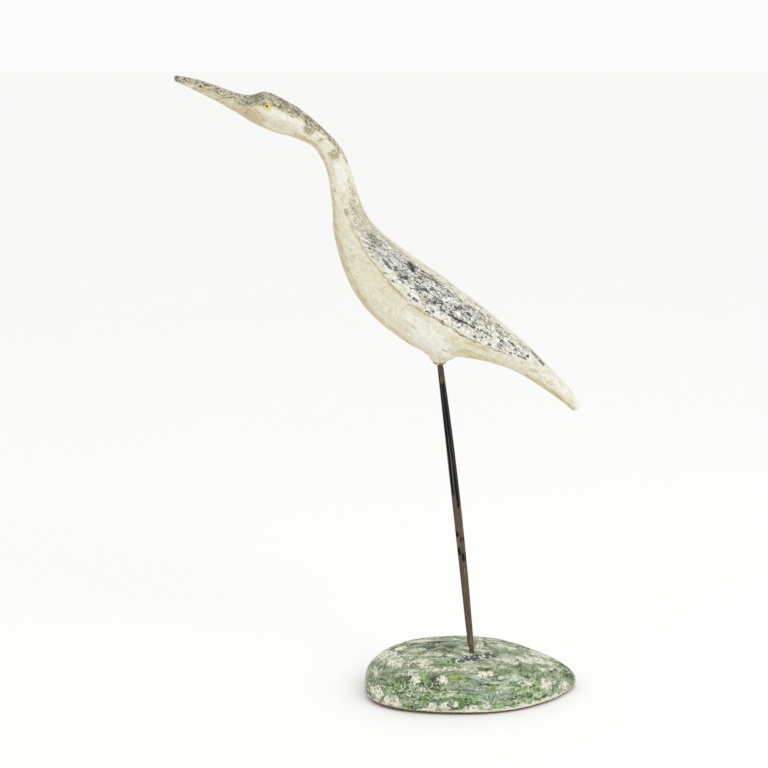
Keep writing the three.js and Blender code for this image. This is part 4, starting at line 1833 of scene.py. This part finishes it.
    line_round: tuple[float, ...] = (0.535, 0.515, 0.512, 0.518, 0.508, 0.508, 0.504, 0.5, 0.492, 0.476,
                                     0.47, 0.48, 0.486, 0.499, 0.488, 0.474)
    line_weight: tuple[float, ...] = (0.0, 0.5, 0.5, 0.6, 0.7, 0.8, 0.85, 0.9, 0.9, 0.9, 0.9, 1.2,
                                      1.2, 0.6, 0.8, 0.3)
    thighs = mirrored(Spot((-40, 20, 456), (40, 26, 17)))
    fill = mirrored(Spot((-57, 18, 452), (16, 16, 11), 1.9))
    hollow = mirrored(Spot((-14, 37, 461), (17, 22, 11), 1.5))
    swelling = ((0.0, 0.65), (2.5, 0.55), (4.0, 0.25))
    carving = (Grain(0.3, 22, 1), Grain(0.14, 5, 2))
    crackle = Grain(0.22, 2.8, 3)
    flaking = Grain(0.22, 3.2, 4, stretch=(1, 1, 1.4))
    wing_edge = ((0.4, -1.4), (-0.36, 1.6))
    edge_width = 1.2

    def build(self, effects: Effects) -> bpy.types.Object:
        """Makes the bird, carves its finer relief and dresses it.

        Args:
            effects: The shared patterns.

        Returns:
            The piece.
        """
        piece = merged_copy("heron", "carved_bird")
        self._fill(piece)
        to_quads()
        apply_modifier(piece, "SUBSURF", levels=2, render_levels=2)
        apply_modifier(piece, "REMESH", mode="VOXEL", voxel_size=self.voxel)
        apply_modifier(piece, "SMOOTH", factor=0.5, iterations=3)
        self._soften_thighs(piece)
        self._taper_thighs(piece)
        spine = Spine(RIBS)
        skin = Skin(piece)
        skin.push(self._relief(skin, spine.places(skin.points)))
        self._note(skin, spine.places(skin.points), spine)
        bpy.ops.object.shade_smooth()
        piece.data.materials.append(self.finish.material(effects))
        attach(piece, "root")
        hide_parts("heron")
        return piece

    def _fill(self, piece: bpy.types.Object) -> None:
        """Closes the sockets and the rod holes, which eyes and rods fill."""
        eyes = [self.eyes.middle(side) for side in Side]

        def is_hole(point: Vector) -> bool:
            """Whether a face's middle lies in a socket or in a rod's hole."""
            in_socket = any((point - eye).length < self.socket for eye in eyes)
            return in_socket or self.rods.nearest(point) < self.hole

        delete_faces(piece, is_hole)
        close_holes()

    def _soften_thighs(self, piece: bpy.types.Object) -> None:
        """Blends the thighs into the belly, as carving and thick paint do."""
        weight = spots_over(self.thighs, Skin(piece).points)
        group = piece.vertex_groups.new(name="thighs")
        for index in np.flatnonzero(weight > 0.02):
            group.add([int(index)], float(weight[index]), "REPLACE")
        apply_modifier(piece, "SMOOTH", factor=0.6, iterations=24, vertex_group="thighs")
        piece.vertex_groups.clear()

    def _taper_thighs(self, piece: bpy.types.Object) -> None:
        """Shapes the foot of each thigh round its rod."""
        skin = Skin(piece)
        skin.points += sum(self.foot.shift(skin.points, self.rods, side) for side in Side)
        skin.write()

    def _relief(self, skin: Skin, places: Places) -> np.ndarray:
        """The height of the carving and of the layers of old paint at each point."""
        points = skin.points
        height = MM * np.interp(places.rib, *zip(*self.swelling))
        for layer in self.carving:
            height += layer.over(points)
        for zones, layer in ((self.cracked, self.crackle), (self.dark, self.flaking)):
            height += np.clip(strongest(zones, places.rib, places.round), 0, 1) * layer.over(points)
        below = places.girth * (places.round - places.edge) / MM
        for tall, middle in self.wing_edge:
            height += tall * MM * places.rise * np.exp(-((below - middle) / self.edge_width) ** 2)
        return height + MM * (spots_over(self.fill, points) - spots_over(self.hollow, points))

    def _note(self, skin: Skin, places: Places, spine: Spine) -> None:
        """Writes where each kind of paint lies, for the finish to read."""
        right = skin.points[:, 1] > 0
        round_ = places.round
        unlike = np.interp(places.rib, (8.0, 10.5), self.unlike)
        rib = places.rib + unlike * right * smoothstep(round_, 0.05, 0.25)
        side = np.sign(skin.points[:, 1])
        around = places.girth * round_ * side
        skin.note("lengthwise", np.column_stack([places.arc, around, 0.05 * side]))
        for name in ("crown", "brown", "grey", "tan", "olive", "light", "chips", "cracked", "dark", "moss"):
            skin.note(name, strongest(getattr(self, name), rib, round_))
        skin.note("tip", 1 - smoothstep(rib, 0.0, 0.14))
        across = round_ / places.edge
        skin.note("wing", places.rise * (1 - smoothstep(across, 0.95, 1.0)) * smoothstep(across, 0.2, 0.5))
        away = places.girth * (round_ - np.interp(rib, self.line_ribs, self.line_round))
        skin.note("line", away)
        skin.note("line_weight", np.interp(rib, self.line_ribs, self.line_weight, left=0, right=0))
        skin.note("collar", self.foot.bare(skin.points, self.rods))
        skin.note("stroke", np.min([stroke.away(places, spine) for stroke in self.strokes], axis=0))


@dataclass
class Mound:
    """The low painted mound in which the rods stand.

    Args:
        rods: The rods that stand in it.
        voxel: The size of its mesh's faces.
        hole: How far from the middle of a rod its hole reaches.
        hole_rim: Within which distance the rim of the open hole lies.
        underside: Below which height a face is a part of the underside.
        thick: How far the coats of paint stand proud, in millimetres.
        foot_thick: The same of the patch round the feet.
        chip_depth: How deep its chips are, in millimetres.
        level: Between which heights the unevenness sets in.
        slot: The slot of its material, which is not used.
        finish: Its finish.
    """

    rods: Rods
    voxel: float = 1.35 * MM
    hole: float = 3.72 * MM
    hole_rim: float = 6 * MM
    underside: float = 0.2 * MM
    thick: float = 1.2
    foot_thick: float = 0.36
    chip_depth: float = 0.45
    level: tuple[float, float] = (0.6 * MM, 5 * MM)
    slot: str = "painted_mound"
    finish: MoundPaint = MoundPaint()

    worn = (
        Spot((-120, 28, 36), (22, 30, 26), 1.0),
        Spot((-110, -2, 43), (20, 32, 18), 1.0),
        Spot((-100, -34, 45), (20, 24, 16), 1.0),
        Spot((-122, -42, 34), (18, 22, 18), 0.6),
        Spot((-68, -44, 50), (32, 14, 10), 1.1),
        Spot((-52, -61, 47), (18, 10, 10), 0.7),
        Spot((-30, -25, 53), (30, 11, 10), 0.7),
        Spot((-30, -60, 47), (42, 11, 10), 0.65),
        Spot((11, 18, 54), (8, 22, 8), 0.95),
        Spot((-6, -20, 53), (11, 11, 8), 0.95),
        Spot((45, -24, 46), (26, 13, 11), 0.95),
        Spot((65, -13, 44), (26, 14, 11), 1.0),
        Spot((85, -2, 40), (26, 16, 12), 0.95),
        Spot((90, 32, 34), (30, 30, 18), 0.8),
        Spot((-34, 15, 54), (28, 12, 10), 0.45),
        Spot((-62, 34, 52), (30, 13, 10), 0.95),
        Spot((48, 31, 47), (24, 13, 10), 1.05),
        Spot((106, 0, 32), (15, 13, 12), 0.8),
        Spot((22, -64, 43), (13, 9, 9), 0.75),
        Spot((-94, 16, 48), (14, 16, 12), 0.9),
        Spot((6, -88, 31), (16, 9, 8), 0.55),
        Spot((20, 62, 44), (50, 18, 14), 0.6),
        Spot((-70, 62, 42), (40, 20, 14), 0.7),
        Spot((66, 66, 26), (34, 16, 16), 0.65),
    )
    chips = (
        Spot((-102, -74, 12), (22, 22, 10), 1.1),
        Spot((-93, -78, 23), (13, 18, 12), 0.45),
        Spot((-120, -50, 18), (20, 32, 18), 1.0),
        Spot((-54, -93, 12), (10, 12, 8), 1.0),
        Spot((-37, -95, 12), (13, 12, 8), 1.05),
        Spot((-5, -96, 9), (16, 12, 8), 1.0),
        Spot((15, -95, 12), (9, 12, 7), 0.9),
        Spot((72, -86, 11), (18, 14, 6), 1.05),
        Spot((88, -80, 12), (14, 14, 7), 0.85),
        Spot((102, -55, 25), (26, 28, 12), 0.85),
        Spot((70, -66, 33), (26, 14, 10), 0.7),
        Spot((-82, -63, 40), (14, 11, 11), 0.6),
        Spot((-76, -75, 38), (11, 11, 11), 1.1),
        Spot((-41, -79, 40), (11, 11, 11), 1.1),
        Spot((-58, -74, 36), (20, 14, 12), 0.35),
        Spot((-26, -96, 15), (9, 10, 7), 0.9),
        Spot((10, -67, 42), (11, 11, 11), 1.0),
        Spot((-75, -86, 24), (64, 26, 26), 0.5),
        Spot((40, -88, 22), (76, 26, 22), 0.4),
        Spot((120, -28, 12), (26, 26, 14), 0.7),
        Spot((-128, 20, 20), (16, 50, 24), 0.6),
        Spot((-70, 96, 12), (60, 20, 12), 0.8),
        Spot((-30, 98, 30), (30, 20, 10), 0.7),
        Spot((40, 98, 14), (50, 24, 10), 0.8),
        Spot((110, 50, 12), (34, 34, 12), 0.75),
        Spot((0, -20, 50), (80, 40, 12), 0.2),
    )
    deep = (
        Spot((-50, -78, 37), (16, 18, 13), 1.1),
        Spot((-50, 25, 53), (18, 14, 20), 1.2),
        Spot((-55, 2, 53), (17, 12, 20), 1.2),
        Spot((-28, 5, 54), (12, 10, 20), 1.1),
        Spot((-38, -6, 54), (12, 9, 20), 1.1),
        Spot((-36, -29, 52), (12, 9, 20), 1.1),
        Spot((68, -54, 38), (14, 9, 9), 0.95),
        Spot((-40, 8, 53), (46, 44, 20), 0.45),
        Spot((-20, -86, 20), (26, 14, 12), 0.5),
        Spot((40, 80, 36), (50, 20, 18), 0.7),
        Spot((-60, 84, 30), (40, 18, 16), 0.7),
    )
    vivid = (
        Spot((-76, -84, 24), (68, 42, 26), 1.1),
        Spot((78, -72, 22), (66, 42, 26), 1.0),
        Spot((115, 12, 26), (24, 26, 16), 0.6),
        Spot((10, -90, 20), (60, 30, 22), 0.9),
        Spot((-40, -50, 50), (40, 14, 8), 0.3),
        Spot((-20, 96, 22), (50, 24, 16), 0.8),
        Spot((80, 70, 20), (40, 30, 14), 0.5),
        Spot((-125, 20, 14), (16, 50, 16), 0.6),
    )
    cool = (
        Spot((5, -73, 38), (24, 12, 9), 1.2),
        Spot((-5, -82, 31), (26, 14, 10), 1.0),
        Spot((-80, 0, 50), (26, 44, 12), 0.5),
        Spot((25, -90, 21), (32, 16, 9), 0.8),
        Spot((38, 10, 47), (22, 16, 9), 0.5),
        Spot((0, 84, 40), (50, 20, 14), 0.7),
    )
    strip = (
        Spot((80, -60, 6), (60, 60, 20), 1.0),
        Spot((-40, -80, 6), (110, 60, 20), 0.55),
        Spot((0, 90, 6), (150, 60, 20), 0.6),
        Spot((-130, 10, 6), (30, 70, 20), 0.6),
    )
    foot = (
        Spot((-20, -42, 51), (14, 10, 20), 1.2),
        Spot((-4, -33, 51), (16, 12, 20), 1.2),
        Spot((12, -24, 50), (15, 12, 20), 1.2),
        Spot((24, -15, 49), (11, 11, 20), 1.2),
        Spot((17, 36, 50), (9, 14, 20), 1.1),
    )
    lime = (Spot((-23, -75, 42), (15, 4.5, 8)),)
    bright = (Spot((-33, -45, 51), (7, 10, 20)),)
    dot = (Spot((-32.5, -46, 51), (2.6, 3.8, 20)),)
    lump = Spot((11, 24, 51), (9, 12, 20), 3.6)
    pit = Spot((4.4, 20.5, 51), (4, 4, 20), 3.0)
    swell = (Spot((-136, -10, 20), (22, 70, 30), 1.2), Spot((-118, -40, 34), (24, 34, 16), 0.96))
    modelling = (Grain(0.6, 46, 21, 2), Grain(0.3, 12, 22, stretch=(0.5, 1, 1)))
    breaks = Grain(1.0, 6, 23, 4)
    break_edge = (0.05 * MM, 0.3 * MM)
    flaking = Grain(0.9, 3.4, 24)

    def build(self, effects: Effects) -> bpy.types.Object:
        """Makes the mound, gives it its unevenness and chips, and dresses it.

        Args:
            effects: The shared patterns.

        Returns:
            The piece.
        """
        piece = merged_copy("base", "painted_mound")
        delete_faces(
            piece, lambda point: point.z < self.underside or self.rods.nearest(point) < self.hole)
        self._close_rod_holes(piece)
        to_quads()
        apply_modifier(piece, "SUBSURF", levels=2, render_levels=2)
        close_holes()
        apply_modifier(piece, "REMESH", mode="VOXEL", voxel_size=self.voxel)
        apply_modifier(piece, "SMOOTH", factor=0.5, iterations=3)
        skin = Skin(piece)
        skin.push(self._relief(skin.points))
        self._note(skin)
        bpy.ops.object.shade_smooth()
        piece.data.materials.append(self.finish.material(effects))
        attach(piece, "root")
        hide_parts("base")
        return piece

    def _close_rod_holes(self, piece: bpy.types.Object) -> None:
        """Fills the two open loops on top, and leaves the underside open."""
        pick(piece, Part.VERT, lambda vertex: self.rods.nearest(vertex.co) < self.hole_rim)
        with editing(None):
            bpy.ops.mesh.fill_holes(sides=0)

    def _relief(self, points: np.ndarray) -> np.ndarray:
        """The height of the modelling and of the layers of paint at each point."""
        height = self.thick * MM + sum(layer.over(points) for layer in self.modelling)
        broken = smoothstep(self.breaks.over(points), *self.break_edge)
        height -= self.chip_depth * MM * np.clip(spots_over(self.chips, points), 0, 1) * broken
        height += spots_over(self.foot, points) * (self.foot_thick * MM + self.flaking.over(points))
        height += MM * (spots_over(self.swell, points) + self.lump.over(points) - self.pit.over(points))
        return height * smoothstep(points[:, 2], *self.level)

    def _note(self, skin: Skin) -> None:
        """Writes where each kind of paint lies, for the finish to read."""
        names = ("worn", "chips", "deep", "vivid", "cool", "strip", "foot", "lime", "bright", "dot")
        for name in names:
            skin.note(name, spots_over(getattr(self, name), skin.points))


@dataclass
class Studio:
    """A pale floor, soft light from all round with a soft key, and the camera.

    Args:
        eye: Where the camera stands.
        pitch: How far it looks down, in degrees.
        lens: Its focal length, in millimetres.
        film: How wide its film is, in millimetres.
        sight: How far it sees.
        floor: The side of the floor.
        ambient: The strength of the light from all round.
        key_place: Where the key light stands.
        key_aim: The place that it shines at.
        key_side: The side of the key light.
        key_power: Its power in watts.
    """

    eye: Point = (-0.116, -2.273, 0.854)
    pitch: float = 11.0
    lens: float = 84.375
    film: float = 36.0
    sight: float = 200.0
    floor: float = 80.0
    ambient: float = 0.97
    key_place: Point = (1.5, -1.7, 2.1)
    key_aim: Point = (-0.1, 0.0, 0.4)
    key_side: float = 1.1
    key_power: float = 12.0

    def build(self, effects: Effects) -> None:
        """Sets the camera, the lights and the floor.

        Args:
            effects: The shared patterns.
        """
        scene = bpy.context.scene
        scene.view_settings.view_transform = "Standard"
        lens = bpy.data.cameras.new("camera")
        lens.lens = self.lens
        lens.sensor_width = self.film
        lens.clip_end = self.sight
        camera = bpy.data.objects.new("camera", lens)
        camera.location = self.eye
        camera.rotation_euler = (math.radians(90 - self.pitch), 0, 0)
        scene.collection.objects.link(camera)
        scene.camera = camera
        self._lights(scene)
        bpy.ops.object.select_all(action="DESELECT")
        bpy.ops.mesh.primitive_plane_add(size=self.floor, location=(0, 0, 0))
        floor = bpy.context.active_object
        floor.name = "studio_floor"
        floor.data.materials.append(StudioFloor().material(effects))

    def _lights(self, scene: bpy.types.Scene) -> None:
        """Adds the light from all round and the key."""
        world = bpy.data.worlds.new("studio")
        world.use_nodes = True
        backdrop = world.node_tree.nodes["Background"]
        backdrop.inputs["Color"].default_value = (1.0, 1.0, 1.0, 1.0)
        backdrop.inputs["Strength"].default_value = self.ambient
        scene.world = world
        lamp = bpy.data.lights.new("key", "AREA")
        lamp.energy = self.key_power
        lamp.size = self.key_side
        key = bpy.data.objects.new("key", lamp)
        key.location = self.key_place
        aim = Vector(self.key_aim) - Vector(self.key_place)
        key.rotation_euler = aim.to_track_quat("-Z", "Y").to_euler()
        scene.collection.objects.link(key)


def report(pieces: Sequence[bpy.types.Object]) -> None:
    """Logs each piece with its size and number of faces."""
    for piece in pieces:
        size = ", ".join(f"{length / MM:.1f}" for length in piece.dimensions)
        LOG.info("%s: %s mm, %d faces", piece.name, size, len(piece.data.polygons))


def main() -> None:
    """Builds the studio and each piece of the heron in order."""
    logging.basicConfig(level=logging.INFO, format="%(message)s")
    effects = Effects()
    Studio().build(effects)
    rods = Rods()
    eyes = Eyes()
    report(rods.build(effects))
    report(eyes.build(effects))
    report([Bird(rods, eyes).build(effects), Mound(rods).build(effects)])


if __name__ == "__main__":
    main()
